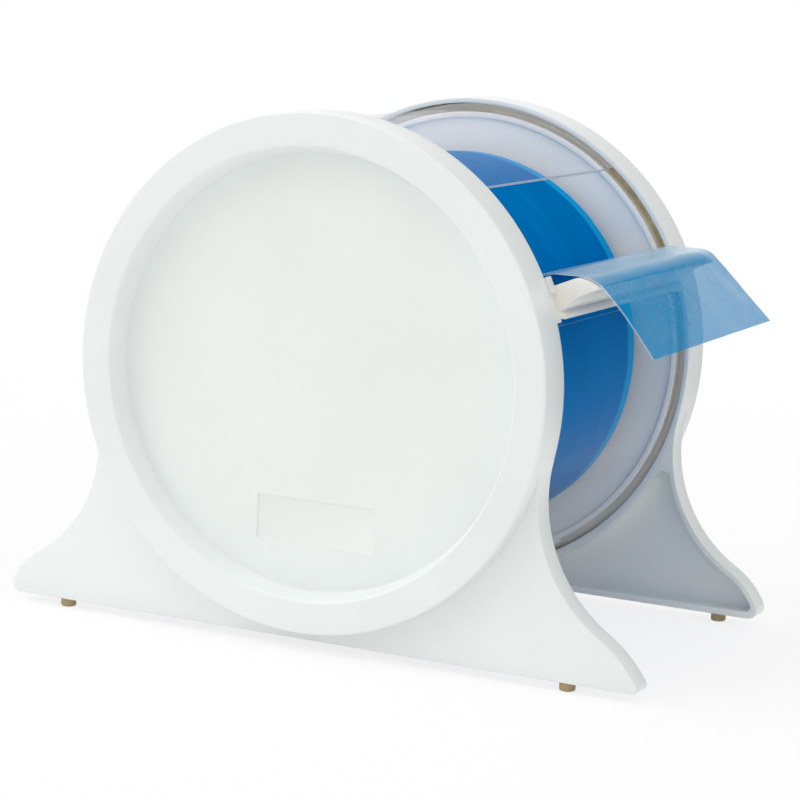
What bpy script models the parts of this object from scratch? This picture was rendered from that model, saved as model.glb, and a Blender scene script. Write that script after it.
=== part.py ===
"""Counter-top dispenser for a roll of perforated barrier film.

Two moulded side panels with splayed feet carry a clear drum made of a fixed
lower cover and a sliding upper cover. The film roll turns on a spindle on the
drum's axis, and the film leaves over a bar at the front.

Frame: metres, +X along the roll's axis, -Y towards the front where the film
comes out, +Z up, origin on the table below the middle of the axis.
"""

import math
from collections import namedtuple

import bmesh
import bpy
from mathutils import Matrix, Vector

# Film roll
FILM_WIDTH = 0.1016
CORE_BORE_RADIUS = 0.0381
CORE_WALL = 0.0020
WOUND_DEPTH = 0.0289
FILM_SOLID_WALL = 0.0004

# Gaps between solids
CLEARANCE = 0.0003
SIDE_ROOM = 0.0052
END_FLOAT = 0.0005
OVERRUN = 0.0010

# Drum and its covers, sized around the full roll
ROLL_ROOM = 0.0143
RIM_WALL = 0.0017
COVER_WALL = 0.0012
GROOVE_DEPTH = 0.0050
LOWER_COVER_FRONT_ANGLE = math.radians(15.7)
LOWER_COVER_REAR_ANGLE = math.radians(-200.0)
UPPER_COVER_FRONT_ANGLE = math.radians(51.5)
UPPER_COVER_REAR_ANGLE = math.radians(195.0)
UPPER_COVER_TRAVEL = math.radians(100.0)
STOP_LUG_PLAY = math.radians(1.5)
STOP_LUG_SPREAD = math.radians(3.0)

# Side panel ring and dished face
RING_DEPTH = 0.0147
RING_BAND = 0.0116
RECESS_DRAFT = 0.0013
RECESS_DEPTH = 0.0082
SHELL_WALL = 0.0024
RIM_ROUND = 0.0008
RECESS_ROUND = 0.0008

# Label field sunk in the dished face, a little in front of the axis on the left
LABEL_WIDTH = 0.0450
LABEL_HEIGHT = 0.0155
LABEL_EDGE_ROOM = 0.0239
LABEL_FORWARD = 0.0016
LABEL_SINK = 0.0004

# Legs, as tangent arcs from the ring down to the toe
FOOT_HEIGHT = 0.00325
RING_LIFT = 0.0035
LEG_DEPTH = 0.0088
LEG_WALL = 0.0018
LEG_FACE_WALL = 0.0025
LEG_FLANGE = 0.0024
POCKET_RIB = 0.0010
POCKET_APEX_ROUND = 0.0030
POCKET_TOE_ROUND = 0.0020
POCKET_HEEL_ROUND = 0.0012
LONG_LEG_REACH = 0.1225
LONG_LEG_FLARE_RADIUS = 0.0517
LONG_LEG_CALF_RADIUS = 0.0470
LONG_LEG_CALF_ANGLE = math.radians(33.2)
LONG_LEG_TOE_RADIUS = 0.0018
SHORT_LEG_REACH = 0.1197
SHORT_LEG_FLARE_RADIUS = 0.0492
SHORT_LEG_CALF_RADIUS = 0.0300
SHORT_LEG_CALF_ANGLE = math.radians(27.5)
SHORT_LEG_TOE_RADIUS = 0.0032

# Push-in rubber feet, each set back from its own toe
FOOT_RADIUS = 0.0027
FOOT_ROUND = 0.0005
FOOT_STEM_RADIUS = 0.0015
FOOT_STEM_LENGTH = 0.0014
LEFT_FRONT_FOOT_INSET = 0.0261
LEFT_REAR_FOOT_INSET = 0.0216
RIGHT_FRONT_FOOT_INSET = 0.0159
RIGHT_REAR_FOOT_INSET = 0.0261

# Inner disc, which closes the ring from inside
DISC_WALL = 0.0024
DISC_LIP_WALL = 0.0020
DISC_FLANGE_WALL = 0.0016

# Screws that hold the inner disc to the panel
SCREW_CIRCLE_RADIUS = 0.0450
SCREW_COUNT = 3
SCREW_SHANK_RADIUS = 0.0014
SCREW_HEAD_RADIUS = 0.0048
SCREW_HEAD_HEIGHT = 0.0016
SCREW_TIP_DEPTH = 0.0012
BOSS_WALL = 0.0019

# Spindle, hubs and the cradles they run in
SPINDLE_RADIUS = 0.0050
SPINDLE_CHAMFER = 0.0008
HUB_FLANGE_RIM = 0.0029
HUB_FLANGE_WALL = 0.0012
HUB_WALL = 0.0024
HUB_PLUG_LENGTH = 0.0200
HUB_BOSS_WALL = 0.0030
HUB_BOSS_LENGTH = 0.0140
COLLAR_WALL = 0.0030
COLLAR_WIDTH = 0.0040
BUSH_WALL = 0.0016
CRADLE_WALL = 0.0035
CRADLE_TOP = 0.0080
CRADLE_FOOT = 0.0150

# Dispensing bar: its top rises from inside the ring to a crest, and its nose stands out in front
BAR_OVERHANG = 0.0020
BAR_REAR_INSET = 0.0080
BAR_REAR_DROP = 0.0035
BAR_TOP_ANGLE = math.radians(25.3)
BAR_CREST_DEPTH = 0.0084
BAR_NOSE_RUN = 0.0080
BAR_NOSE_DROP = 0.0026
BAR_NOSE_EDGE = 0.0008
BAR_NECK_SETBACK = 0.0046
BAR_LIP_RUN = 0.0018
BAR_LIP_WALL = 0.0014
BAR_NECK_RISE = 0.0022
BAR_DEPTH = 0.0136
BAR_HOLLOW_FORWARD_SHARE = 1 / 3
BAR_HOLLOW_HEIGHT_SHARE = 2 / 3
EAR_TOP_ANGLE = math.radians(26.4)
EAR_BOTTOM_ANGLE = math.radians(16.4)
EAR_PROUD_BOTTOM_ANGLE = math.radians(22.8)
EAR_PROUD = 0.0010
EAR_SUNK = 0.0004
TONGUE_INSET_ANGLE = math.radians(0.6)

# Film tail lying over the bar: for each edge, how far past the bar's crest and above its top
# the edge starts to bend, the bend's corner, where it leaves the nose, the hang's corner, its end
FILM_PEEL_ANGLE = math.radians(30.3)
FILM_LEFT_EDGE = (
    (0.0000, 0.0005), (0.0040, 0.0005), (0.00835, -0.00225), (0.0183, -0.0126), (0.0270, -0.0243))
FILM_RIGHT_EDGE = (
    (0.00365, 0.0014), (0.0068, 0.0014), (0.0091, -0.00075), (0.0202, -0.0111), (0.0312, -0.0215))

# Facets
RING_STEPS = 60
HUB_STEPS = 32
SPINDLE_STEPS = 24
SMALL_STEPS = 12
ARC_STEPS = 5
FILM_STEPS = 6
FILM_RUN_STEPS = 3
SMOOTH_ANGLE = math.radians(30)
WELD_DISTANCE = 0.000003

# Sizes that follow from those above
CORE_RADIUS = CORE_BORE_RADIUS + CORE_WALL
ROLL_RADIUS = CORE_RADIUS + WOUND_DEPTH
UPPER_COVER_INNER = ROLL_RADIUS + ROLL_ROOM
UPPER_COVER_OUTER = UPPER_COVER_INNER + COVER_WALL
LOWER_COVER_INNER = UPPER_COVER_OUTER + CLEARANCE
LOWER_COVER_OUTER = LOWER_COVER_INNER + COVER_WALL
GROOVE_RADIUS = LOWER_COVER_OUTER + CLEARANCE
RING_RADIUS = GROOVE_RADIUS + RIM_WALL
AXIS_HEIGHT = FOOT_HEIGHT + RING_LIFT + RING_RADIUS
FILM_END = FILM_WIDTH / 2
RING_FACE_INNER_RADIUS = RING_RADIUS - RING_BAND
RECESS_RADIUS = RING_FACE_INNER_RADIUS - RECESS_DRAFT
LABEL_DROP = RECESS_RADIUS - LABEL_EDGE_ROOM
LIP_PLANE = FILM_END + SIDE_ROOM
RING_FACE = LIP_PLANE + RING_DEPTH
RECESS_FACE = RING_FACE - RECESS_DEPTH
RECESS_BACK = RECESS_FACE - SHELL_WALL
LEG_FACE = LIP_PLANE + LEG_DEPTH
LEG_BOTTOM = -(RING_RADIUS + RING_LIFT)
LEG_MIDDLE = LIP_PLANE + LEG_DEPTH / 2
DISC_RADIUS = UPPER_COVER_INNER - CLEARANCE
GROOVE_FLOOR = LIP_PLANE + GROOVE_DEPTH
COVER_END = GROOVE_FLOOR - CLEARANCE
DISC_BACK = RECESS_BACK - CLEARANCE
DISC_FACE = DISC_BACK - DISC_WALL
HUB_RADIUS = CORE_BORE_RADIUS - CLEARANCE
HUB_FLANGE_RADIUS = CORE_RADIUS + HUB_FLANGE_RIM
HUB_FACE = FILM_END + CLEARANCE
HUB_END = HUB_FACE + HUB_FLANGE_WALL
CRADLE_FACE = HUB_END + END_FLOAT
BUSH_BORE_RADIUS = SPINDLE_RADIUS + CLEARANCE
BUSH_RADIUS = BUSH_BORE_RADIUS + BUSH_WALL
CRADLE_BORE_RADIUS = BUSH_RADIUS + CLEARANCE
SPINDLE_END = DISC_FACE - CLEARANCE
BAR_END = FILM_END + BAR_OVERHANG
BAR_REAR_REACH = RING_RADIUS - BAR_REAR_INSET
BAR_CREST_REACH = BAR_REAR_REACH + BAR_CREST_DEPTH
BAR_NOSE_REACH = BAR_CREST_REACH + BAR_NOSE_RUN
BAR_NECK_REACH = BAR_CREST_REACH - BAR_NECK_SETBACK
BAR_LIP_REACH = BAR_NECK_REACH + BAR_LIP_RUN
BAR_TOP = RING_RADIUS * math.sin(BAR_TOP_ANGLE)
BAR_NOSE_HEIGHT = BAR_TOP - BAR_NOSE_DROP
BAR_BASE = BAR_TOP - BAR_DEPTH
BAR_NECK_HEIGHT = BAR_BASE + BAR_NECK_RISE
EAR_END = LIP_PLANE - CLEARANCE
BOSS_RADIUS = SCREW_SHANK_RADIUS + CLEARANCE + BOSS_WALL

Leg = namedtuple("Leg", ("reach", "flare", "calf", "calf_angle", "toe"))
LONG_LEG = Leg(
    LONG_LEG_REACH,
    LONG_LEG_FLARE_RADIUS,
    LONG_LEG_CALF_RADIUS,
    LONG_LEG_CALF_ANGLE,
    LONG_LEG_TOE_RADIUS,
)
SHORT_LEG = Leg(
    SHORT_LEG_REACH,
    SHORT_LEG_FLARE_RADIUS,
    SHORT_LEG_CALF_RADIUS,
    SHORT_LEG_CALF_ANGLE,
    SHORT_LEG_TOE_RADIUS,
)

# Turns a flat outline drawn in local X and Y into the Y-Z plane, facing +X
SIDE_TURN = Matrix.Rotation(math.pi / 2, 4, "Z") @ Matrix.Rotation(math.pi / 2, 4, "X")
AXIS_PLACE = Matrix.Translation((0, 0, AXIS_HEIGHT))
HALF_TURN = Matrix.Rotation(math.pi, 4, "Z")

# Colours as red, green, blue in linear light, then roughness, metallic, alpha
FINISHES = {
    "panel_white": ((0.83, 0.87, 0.85), 0.38, 0.0, 1.0),
    "disc_white": ((0.80, 0.82, 0.84), 0.42, 0.0, 1.0),
    "bar_white": ((0.86, 0.87, 0.85), 0.35, 0.0, 1.0),
    "cover_clear": ((0.80, 0.82, 0.85), 0.12, 0.0, 0.30),
    "film_blue": ((0.0, 0.13, 0.48), 0.30, 0.0, 1.0),
    "film_pale": ((0.10, 0.42, 0.70), 0.22, 0.0, 0.60),
    "core_card": ((0.55, 0.50, 0.42), 0.85, 0.0, 1.0),
    "hub_grey": ((0.30, 0.31, 0.32), 0.50, 0.0, 1.0),
    "spindle_steel": ((0.55, 0.56, 0.58), 0.30, 1.0, 1.0),
    "bush_cream": ((0.78, 0.76, 0.68), 0.45, 0.0, 1.0),
    "foot_rubber": ((0.31, 0.23, 0.12), 0.80, 0.0, 1.0),
    "screw_steel": ((0.52, 0.52, 0.53), 0.35, 1.0, 1.0),
}


def clear_scene():
    """Remove every object that is already in the scene."""
    for old in list(bpy.data.objects):
        bpy.data.objects.remove(old, do_unlink=True)


def make_collection(name):
    """Add a collection to the scene."""
    collection = bpy.data.collections.new(name)
    bpy.context.scene.collection.children.link(collection)
    return collection


def finish_material(name):
    """Return the material of one finish, made the first time it is asked for."""
    if name in bpy.data.materials:
        return bpy.data.materials[name]
    colour, roughness, metallic, alpha = FINISHES[name]
    material = bpy.data.materials.new(name)
    material.use_nodes = True
    shader = material.node_tree.nodes["Principled BSDF"]
    shader.inputs["Base Color"].default_value = (*colour, 1)
    shader.inputs["Roughness"].default_value = roughness
    shader.inputs["Metallic"].default_value = metallic
    shader.inputs["Alpha"].default_value = alpha
    return material


def add_object(name, mesh, place, finish=None):
    """Link a mesh object into the dispenser at a placing matrix."""
    obj = bpy.data.objects.new(name, mesh)
    dispenser.objects.link(obj)
    obj.matrix_world = place
    if finish:
        mesh.materials.clear()
        mesh.materials.append(finish_material(finish))
    return obj


def face_outwards(mesh):
    """Weld loose caps, point every face outwards and shade round sides smooth."""
    work = bmesh.new()
    work.from_mesh(mesh)
    bmesh.ops.remove_doubles(work, verts=work.verts, dist=WELD_DISTANCE)
    bmesh.ops.recalc_face_normals(work, faces=work.faces)
    work.to_mesh(mesh)
    work.free()
    mesh.shade_smooth()
    mesh.set_sharp_from_angle(angle=SMOOTH_ANGLE)


def solid_mesh(obj):
    """Return the evaluated shape of an object as a mesh of its own."""
    bpy.context.view_layer.update()
    evaluated = obj.evaluated_get(bpy.context.evaluated_depsgraph_get())
    mesh = bpy.data.meshes.new_from_object(evaluated)
    face_outwards(mesh)
    return mesh


def bake(obj, finish=None):
    """Replace an object, curve or mesh, by the solid that its modifiers make."""
    mesh = solid_mesh(obj)
    name = obj.name
    place = obj.matrix_world.copy()
    bpy.data.objects.remove(obj, do_unlink=True)
    return add_object(name, mesh, place, finish)


def half_turned(obj, name):
    """Copy a finished left-hand piece to the right by half a turn about Z."""
    place = HALF_TURN @ obj.matrix_world
    return add_object(name, obj.data, place)


def combine(target, tool, operation):
    """Join or cut the target with the tool, which becomes a hidden guide."""
    for collection in list(tool.users_collection):
        collection.objects.unlink(tool)
    cutters.objects.link(tool)
    tool.hide_render = True
    tool.display_type = "WIRE"
    change = target.modifiers.new(tool.name, "BOOLEAN")
    change.operation = operation
    change.solver = "EXACT"
    change.object = tool


def turned(name, profile, steps, finish=None):
    """Turn a closed profile of (distance along X, radius) about the roll's axis."""
    mesh = bpy.data.meshes.new(name)
    count = len(profile)
    edges = [(index, (index + 1) % count) for index in range(count)]
    if profile[0][1] == 0 and profile[-1][1] == 0:
        edges.pop()
    mesh.from_pydata([(along, 0, radius) for along, radius in profile], edges, [])
    obj = add_object(name, mesh, AXIS_PLACE)
    screw = obj.modifiers.new("turn", "SCREW")
    screw.axis = "X"
    screw.steps = steps
    screw.render_steps = steps
    screw.use_merge_vertices = True
    screw.merge_threshold = WELD_DISTANCE
    return bake(obj, finish)


def section(name, outlines, low, high, finish=None):
    """Extrude closed outlines of (Y, height above axis) from X low to X high."""
    curve = bpy.data.curves.new(name, "CURVE")
    curve.dimensions = "2D"
    curve.fill_mode = "BOTH"
    curve.extrude = (high - low) / 2
    for outline in outlines:
        spline = curve.splines.new("POLY")
        spline.points.add(len(outline) - 1)
        for point, (across, height) in zip(spline.points, outline):
            point.co = (across, height, 0, 1)
        spline.use_cyclic_u = True
    obj = bpy.data.objects.new(name, curve)
    dispenser.objects.link(obj)
    obj.matrix_world = AXIS_PLACE @ Matrix.Translation(((low + high) / 2, 0, 0)) @ SIDE_TURN
    return bake(obj, finish)


def on_circle(centre, radius, angle):
    """Return the point of a circle in a flat outline."""
    return (centre[0] + radius * math.cos(angle), centre[1] + radius * math.sin(angle))


def arc(centre, radius, start, end, steps=ARC_STEPS):
    """Return points along an arc, both ends included."""
    return [
        on_circle(centre, radius, start + (end - start) * step / steps)
        for step in range(steps + 1)
    ]


def bend(start, control, end):
    """Return points along a curve that leaves start and reaches end towards control."""
    points = []
    for step in range(ARC_STEPS + 1):
        share = step / ARC_STEPS
        near = Vector(start).lerp(Vector(control), share)
        far = Vector(control).lerp(Vector(end), share)
        points.append(tuple(near.lerp(far, share)))
    return points


def heading(start, end):
    """Return the angle of the line from one point to another."""
    return math.atan2(end[1] - start[1], end[0] - start[0])


def meeting_points(centre_a, radius_a, centre_b, radius_b):
    """Return both points where two circles meet, the lower one first."""
    line = Vector(centre_b) - Vector(centre_a)
    span = line.length
    along = (radius_a**2 - radius_b**2 + span**2) / (2 * span)
    across = math.sqrt(max(radius_a**2 - along**2, 0))
    direction = line / span
    normal = Vector((-direction.y, direction.x)) * across
    middle = Vector(centre_a) + direction * along
    return sorted((tuple(middle - normal), tuple(middle + normal)), key=lambda point: point[1])


def upper_meeting_point(centre_a, radius_a, centre_b, radius_b):
    """Return the higher point where two circles meet."""
    return meeting_points(centre_a, radius_a, centre_b, radius_b)[1]


def front_point(radius, angle):
    """Return (Y, height) at an angle measured from the front upwards."""
    return (-radius * math.cos(angle), radius * math.sin(angle))


def front_arc(radius, start, end, steps):
    """Return points of an arc about the axis, in angles from the front upwards."""
    return [front_point(radius, start + (end - start) * step / steps) for step in range(steps + 1)]


def leg_centres(leg):
    """Return the centres of a leg's flare, calf and toe arcs."""
    toe_centre = (leg.reach - leg.toe, LEG_BOTTOM + leg.toe)
    calf_centre = on_circle(toe_centre, leg.toe - leg.calf, leg.calf_angle)
    flare_centre = upper_meeting_point(
        (0, 0), RING_RADIUS + leg.flare, calf_centre, leg.calf + leg.flare
    )
    return flare_centre, calf_centre, toe_centre


def leg_outline(leg):
    """Return a leg's outline, from the ring down to the floor side of its toe."""
    flare_centre, calf_centre, toe_centre = leg_centres(leg)
    top = heading(flare_centre, (0, 0)) % math.tau
    bottom = heading(flare_centre, calf_centre) % math.tau
    knee = heading(calf_centre, flare_centre)
    points = arc(flare_centre, leg.flare, top, bottom, 2 * ARC_STEPS)
    points += arc(calf_centre, leg.calf, knee, leg.calf_angle)[1:]
    points += arc(toe_centre, leg.toe, leg.calf_angle, -math.pi / 2)[1:]
    return points


def pocket_outline(leg):
    """Return the outline of the open pocket behind a leg."""
    flare_centre, calf_centre, _ = leg_centres(leg)
    ring = RING_RADIUS + POCKET_RIB
    floor = LEG_BOTTOM + LEG_FLANGE
    flare_side = leg.flare + LEG_WALL
    calf_side = leg.calf - LEG_WALL
    apex = meeting_points(
        (0, 0), ring + POCKET_APEX_ROUND, flare_centre, flare_side + POCKET_APEX_ROUND
    )[0]
    toe_height = floor + POCKET_TOE_ROUND
    toe_rise = toe_height - calf_centre[1]
    toe_run = math.sqrt((calf_side - POCKET_TOE_ROUND) ** 2 - toe_rise**2)
    toe_pocket = (calf_centre[0] + toe_run, toe_height)
    heel_height = floor + POCKET_HEEL_ROUND
    heel = (math.sqrt((ring + POCKET_HEEL_ROUND) ** 2 - heel_height**2), heel_height)
    points = arc((0, 0), ring, heading((0, 0), heel), heading((0, 0), apex), 2 * ARC_STEPS)
    points += arc(
        apex, POCKET_APEX_ROUND, heading(apex, (0, 0)) % math.tau, heading(apex, flare_centre)
    )[1:]
    points += arc(
        flare_centre,
        flare_side,
        heading(flare_centre, apex) % math.tau,
        heading(flare_centre, calf_centre) % math.tau,
    )[1:]
    toe_angle = heading(calf_centre, toe_pocket)
    points += arc(calf_centre, calf_side, heading(calf_centre, flare_centre), toe_angle)[1:]
    points += arc(toe_pocket, POCKET_TOE_ROUND, toe_angle, -math.pi / 2)[1:]
    points += arc(heel, POCKET_HEEL_ROUND, 3 * math.pi / 2, heading(heel, (0, 0)) % math.tau)[:-1]
    return points


def facing(side, points):
    """Put a leg's points on the front (side -1) or the rear (side 1)."""
    return [(side * across, height) for across, height in points]


def screw_angles():
    """Return the angles of the disc screws about the axis, the first one on top."""
    return [math.pi / 2 + index * math.tau / SCREW_COUNT for index in range(SCREW_COUNT)]


def screw_place(angle):
    """Return the placing matrix of a disc screw on the left, its Z pointing to -X."""
    centre = on_circle((0, 0), SCREW_CIRCLE_RADIUS, angle)
    place = AXIS_PLACE @ Matrix.Translation((0, centre[0], centre[1]))
    return place @ Matrix.Rotation(-math.pi / 2, 4, "Y")


def cylinder(name, radius, low, high, steps, place):
    """Add a plain cylinder along the local Z axis of a placing matrix."""
    mesh = bpy.data.meshes.new(name)
    work = bmesh.new()
    bmesh.ops.create_cone(
        work,
        cap_ends=True,
        segments=steps,
        radius1=radius,
        radius2=radius,
        depth=high - low,
        matrix=Matrix.Translation((0, 0, (low + high) / 2)),
    )
    work.to_mesh(mesh)
    work.free()
    return add_object(name, mesh, place)


def build_panel():
    """Build the left panel: dished ring, leg plate with pockets, bosses and label field."""
    channel_face = RING_FACE - SHELL_WALL
    channel_inner = RING_FACE_INNER_RADIUS + SHELL_WALL
    rim_middle = RIM_ROUND * (1 - math.cos(math.pi / 4))
    profile = [
        (-RECESS_FACE, 0),
        (-RECESS_FACE, RECESS_RADIUS),
        (-(RING_FACE - RECESS_ROUND), RING_FACE_INNER_RADIUS),
        (-RING_FACE, RING_FACE_INNER_RADIUS + RECESS_ROUND),
        (-RING_FACE, RING_RADIUS - RIM_ROUND),
        (-(RING_FACE - rim_middle), RING_RADIUS - rim_middle),
        (-(RING_FACE - RIM_ROUND), RING_RADIUS),
        (-LIP_PLANE, RING_RADIUS),
        (-LIP_PLANE, GROOVE_RADIUS),
        (-channel_face, GROOVE_RADIUS),
        (-channel_face, channel_inner),
        (-RECESS_BACK, channel_inner),
        (-RECESS_BACK, 0),
    ]
    panel = turned("left_panel", profile, RING_STEPS)

    front_leg = facing(-1, leg_outline(LONG_LEG))
    rear_leg = facing(1, leg_outline(SHORT_LEG))
    weld_radius = (RING_RADIUS + GROOVE_RADIUS) / 2
    front_top = heading((0, 0), front_leg[0])
    rear_top = heading((0, 0), rear_leg[0])
    underside = arc((0, 0), weld_radius, rear_top, front_top, RING_STEPS // 2)
    plate = section(
        "leg_plate", [front_leg + rear_leg[::-1] + underside], -LEG_FACE, -LIP_PLANE
    )
    combine(panel, plate, "UNION")

    pocket_back = -(LEG_FACE - LEG_FACE_WALL)
    for name, side, leg in (("front_pocket", -1, LONG_LEG), ("rear_pocket", 1, SHORT_LEG)):
        outline = facing(side, pocket_outline(leg))
        pocket = section(name, [outline], pocket_back, -(LIP_PLANE - OVERRUN))
        combine(panel, pocket, "DIFFERENCE")

    for index, angle in enumerate(screw_angles()):
        boss = cylinder(
            f"boss_{index}", BOSS_RADIUS, DISC_FACE, RECESS_BACK + SHELL_WALL / 2, SMALL_STEPS,
            screw_place(angle),
        )
        combine(panel, boss, "UNION")
        hole = cylinder(
            f"boss_hole_{index}", SCREW_SHANK_RADIUS + CLEARANCE, DISC_FACE - OVERRUN,
            RECESS_BACK + SCREW_TIP_DEPTH + CLEARANCE, SMALL_STEPS, screw_place(angle),
        )
        combine(panel, hole, "DIFFERENCE")

    front = -LABEL_FORWARD - LABEL_WIDTH / 2
    rear = -LABEL_FORWARD + LABEL_WIDTH / 2
    low = -LABEL_DROP - LABEL_HEIGHT / 2
    high = -LABEL_DROP + LABEL_HEIGHT / 2
    outline = [(front, low), (rear, low), (rear, high), (front, high)]
    field = section(
        "label_field", [outline], -(RECESS_FACE + OVERRUN), -(RECESS_FACE - LABEL_SINK)
    )
    combine(panel, field, "DIFFERENCE")

    return panel


def foot_places():
    """Return each foot's name, side (-1 is left) and Y."""
    return (
        ("left_front_foot", -1, -(LONG_LEG_REACH - LEFT_FRONT_FOOT_INSET)),
        ("left_rear_foot", -1, SHORT_LEG_REACH - LEFT_REAR_FOOT_INSET),
        ("right_front_foot", 1, -(SHORT_LEG_REACH - RIGHT_FRONT_FOOT_INSET)),
        ("right_rear_foot", 1, LONG_LEG_REACH - RIGHT_REAR_FOOT_INSET),
    )


def drill_foot_holes(panel, panel_side):
    """Cut the blind stem holes of one side's feet into its bottom flange."""
    for name, side, across in foot_places():
        if side == panel_side:
            place = AXIS_PLACE @ Matrix.Translation((side * LEG_MIDDLE, across, LEG_BOTTOM))
            hole = cylinder(
                f"{name}_hole", FOOT_STEM_RADIUS + CLEARANCE, -OVERRUN,
                FOOT_STEM_LENGTH + CLEARANCE, SMALL_STEPS, place,
            )
            combine(panel, hole, "DIFFERENCE")
    return bake(panel, "panel_white")


def build_inner_disc():
    """Build the left inner disc without its stop lug: web, groove lip and cradle."""
    profile = [
        (-DISC_BACK, 0),
        (-DISC_BACK, DISC_RADIUS - DISC_LIP_WALL),
        (-(GROOVE_FLOOR + DISC_FLANGE_WALL), DISC_RADIUS - DISC_LIP_WALL),
        (-(GROOVE_FLOOR + DISC_FLANGE_WALL), LOWER_COVER_OUTER),
        (-GROOVE_FLOOR, LOWER_COVER_OUTER),
        (-GROOVE_FLOOR, DISC_RADIUS),
        (-LIP_PLANE, DISC_RADIUS),
        (-LIP_PLANE, DISC_RADIUS - DISC_LIP_WALL),
        (-DISC_FACE, DISC_RADIUS - DISC_LIP_WALL),
        (-DISC_FACE, 0),
    ]
    disc = turned("left_inner_disc", profile, RING_STEPS)

    half_width = CRADLE_BORE_RADIUS + CRADLE_WALL
    block_outline = [
        (-half_width, CRADLE_TOP),
        (-half_width, -CRADLE_FOOT + CRADLE_WALL),
        (-half_width + CRADLE_WALL, -CRADLE_FOOT),
        (half_width - CRADLE_WALL, -CRADLE_FOOT),
        (half_width, -CRADLE_FOOT + CRADLE_WALL),
        (half_width, CRADLE_TOP),
        (CRADLE_BORE_RADIUS, CRADLE_TOP),
    ]
    block_outline += arc((0, 0), CRADLE_BORE_RADIUS, 0, -math.pi, 2 * ARC_STEPS)
    block_outline.append((-CRADLE_BORE_RADIUS, CRADLE_TOP))
    sunk = -(DISC_FACE + DISC_WALL / 2)
    cradle = section("cradle", [block_outline], sunk, -CRADLE_FACE)
    combine(disc, cradle, "UNION")

    for index, angle in enumerate(screw_angles()):
        hole = cylinder(
            f"disc_hole_{index}", BOSS_RADIUS + CLEARANCE, DISC_FACE - OVERRUN,
            DISC_BACK + OVERRUN, SMALL_STEPS, screw_place(angle),
        )
        combine(disc, hole, "DIFFERENCE")
    return disc


def add_stop_lug(disc, side):
    """Put the lug in a disc's groove where the open upper cover comes to a stop."""
    start = UPPER_COVER_REAR_ANGLE + UPPER_COVER_TRAVEL + STOP_LUG_PLAY
    end = start + STOP_LUG_SPREAD
    inner = DISC_RADIUS - DISC_LIP_WALL / 2
    outline = front_arc(UPPER_COVER_OUTER, start, end, 1) + front_arc(inner, end, start, 1)
    low, high = sorted((side * LIP_PLANE, side * (GROOVE_FLOOR + DISC_FLANGE_WALL / 2)))
    combine(disc, section(f"{disc.name}_lug", [outline], low, high), "UNION")
    return bake(disc, "disc_white")


def build_disc_screw(index, angle):
    """Build one washer-head screw of the left inner disc."""
    seat = DISC_FACE - CLEARANCE
    tip = RECESS_BACK + SCREW_TIP_DEPTH
    profile = [
        (-tip, 0),
        (-tip, SCREW_SHANK_RADIUS),
        (-seat, SCREW_SHANK_RADIUS),
        (-seat, SCREW_HEAD_RADIUS),
        (-(seat - SCREW_HEAD_HEIGHT / 2), SCREW_HEAD_RADIUS),
        (-(seat - SCREW_HEAD_HEIGHT), SCREW_HEAD_RADIUS / 2),
        (-(seat - SCREW_HEAD_HEIGHT), 0),
    ]
    screw = turned(f"left_disc_screw_{index + 1}", profile, SMALL_STEPS, "screw_steel")
    across, height = on_circle((0, 0), SCREW_CIRCLE_RADIUS, angle)
    screw.matrix_world = AXIS_PLACE @ Matrix.Translation((0, across, height))
    return screw


def build_sides():
    """Build the left side's pieces and turn copies of them to the right."""
    panel = bake(build_panel())
    right_panel = half_turned(panel, "right_panel")
    drill_foot_holes(panel, -1)
    drill_foot_holes(right_panel, 1)
    disc = bake(build_inner_disc())
    right_disc = half_turned(disc, "right_inner_disc")
    add_stop_lug(disc, -1)
    add_stop_lug(right_disc, 1)
    for index, angle in enumerate(screw_angles()):
        screw = build_disc_screw(index, angle)
        half_turned(screw, f"right_disc_screw_{index + 1}")


def build_foot(name, side, across):
    """Build one push-in foot under the middle of its leg plate."""
    top = FOOT_HEIGHT - CLEARANCE
    profile = [
        (0, 0),
        (0, FOOT_RADIUS - FOOT_ROUND),
        (FOOT_ROUND, FOOT_RADIUS),
        (top, FOOT_RADIUS),
        (top, FOOT_STEM_RADIUS),
        (FOOT_HEIGHT + FOOT_STEM_LENGTH, FOOT_STEM_RADIUS),
        (FOOT_HEIGHT + FOOT_STEM_LENGTH, 0),
    ]
    foot = turned(name, profile, SMALL_STEPS, "foot_rubber")
    upright = Matrix.Rotation(-math.pi / 2, 4, "Y")
    foot.matrix_world = Matrix.Translation((side * LEG_MIDDLE, across, 0)) @ upright


def build_feet():
    """Build the four feet at their own insets from the toes."""
    for name, side, across in foot_places():
        build_foot(name, side, across)


def build_cover(name, inner, outer, start, end, steps):
    """Build a clear cover as an arc-shaped strip that reaches into both grooves."""
    outline = front_arc(outer, start, end, steps) + front_arc(inner, end, start, steps)
    return section(name, [outline], -COVER_END, COVER_END, "cover_clear")


def build_covers():
    """Build the fixed lower cover and the upper cover that slides inside it."""
    build_cover(
        "lower_cover", LOWER_COVER_INNER, LOWER_COVER_OUTER,
        LOWER_COVER_REAR_ANGLE, LOWER_COVER_FRONT_ANGLE, 2 * RING_STEPS // 3,
    )
    build_cover(
        "upper_cover", UPPER_COVER_INNER, UPPER_COVER_OUTER,
        UPPER_COVER_FRONT_ANGLE, UPPER_COVER_REAR_ANGLE, RING_STEPS // 2,
    )


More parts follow.
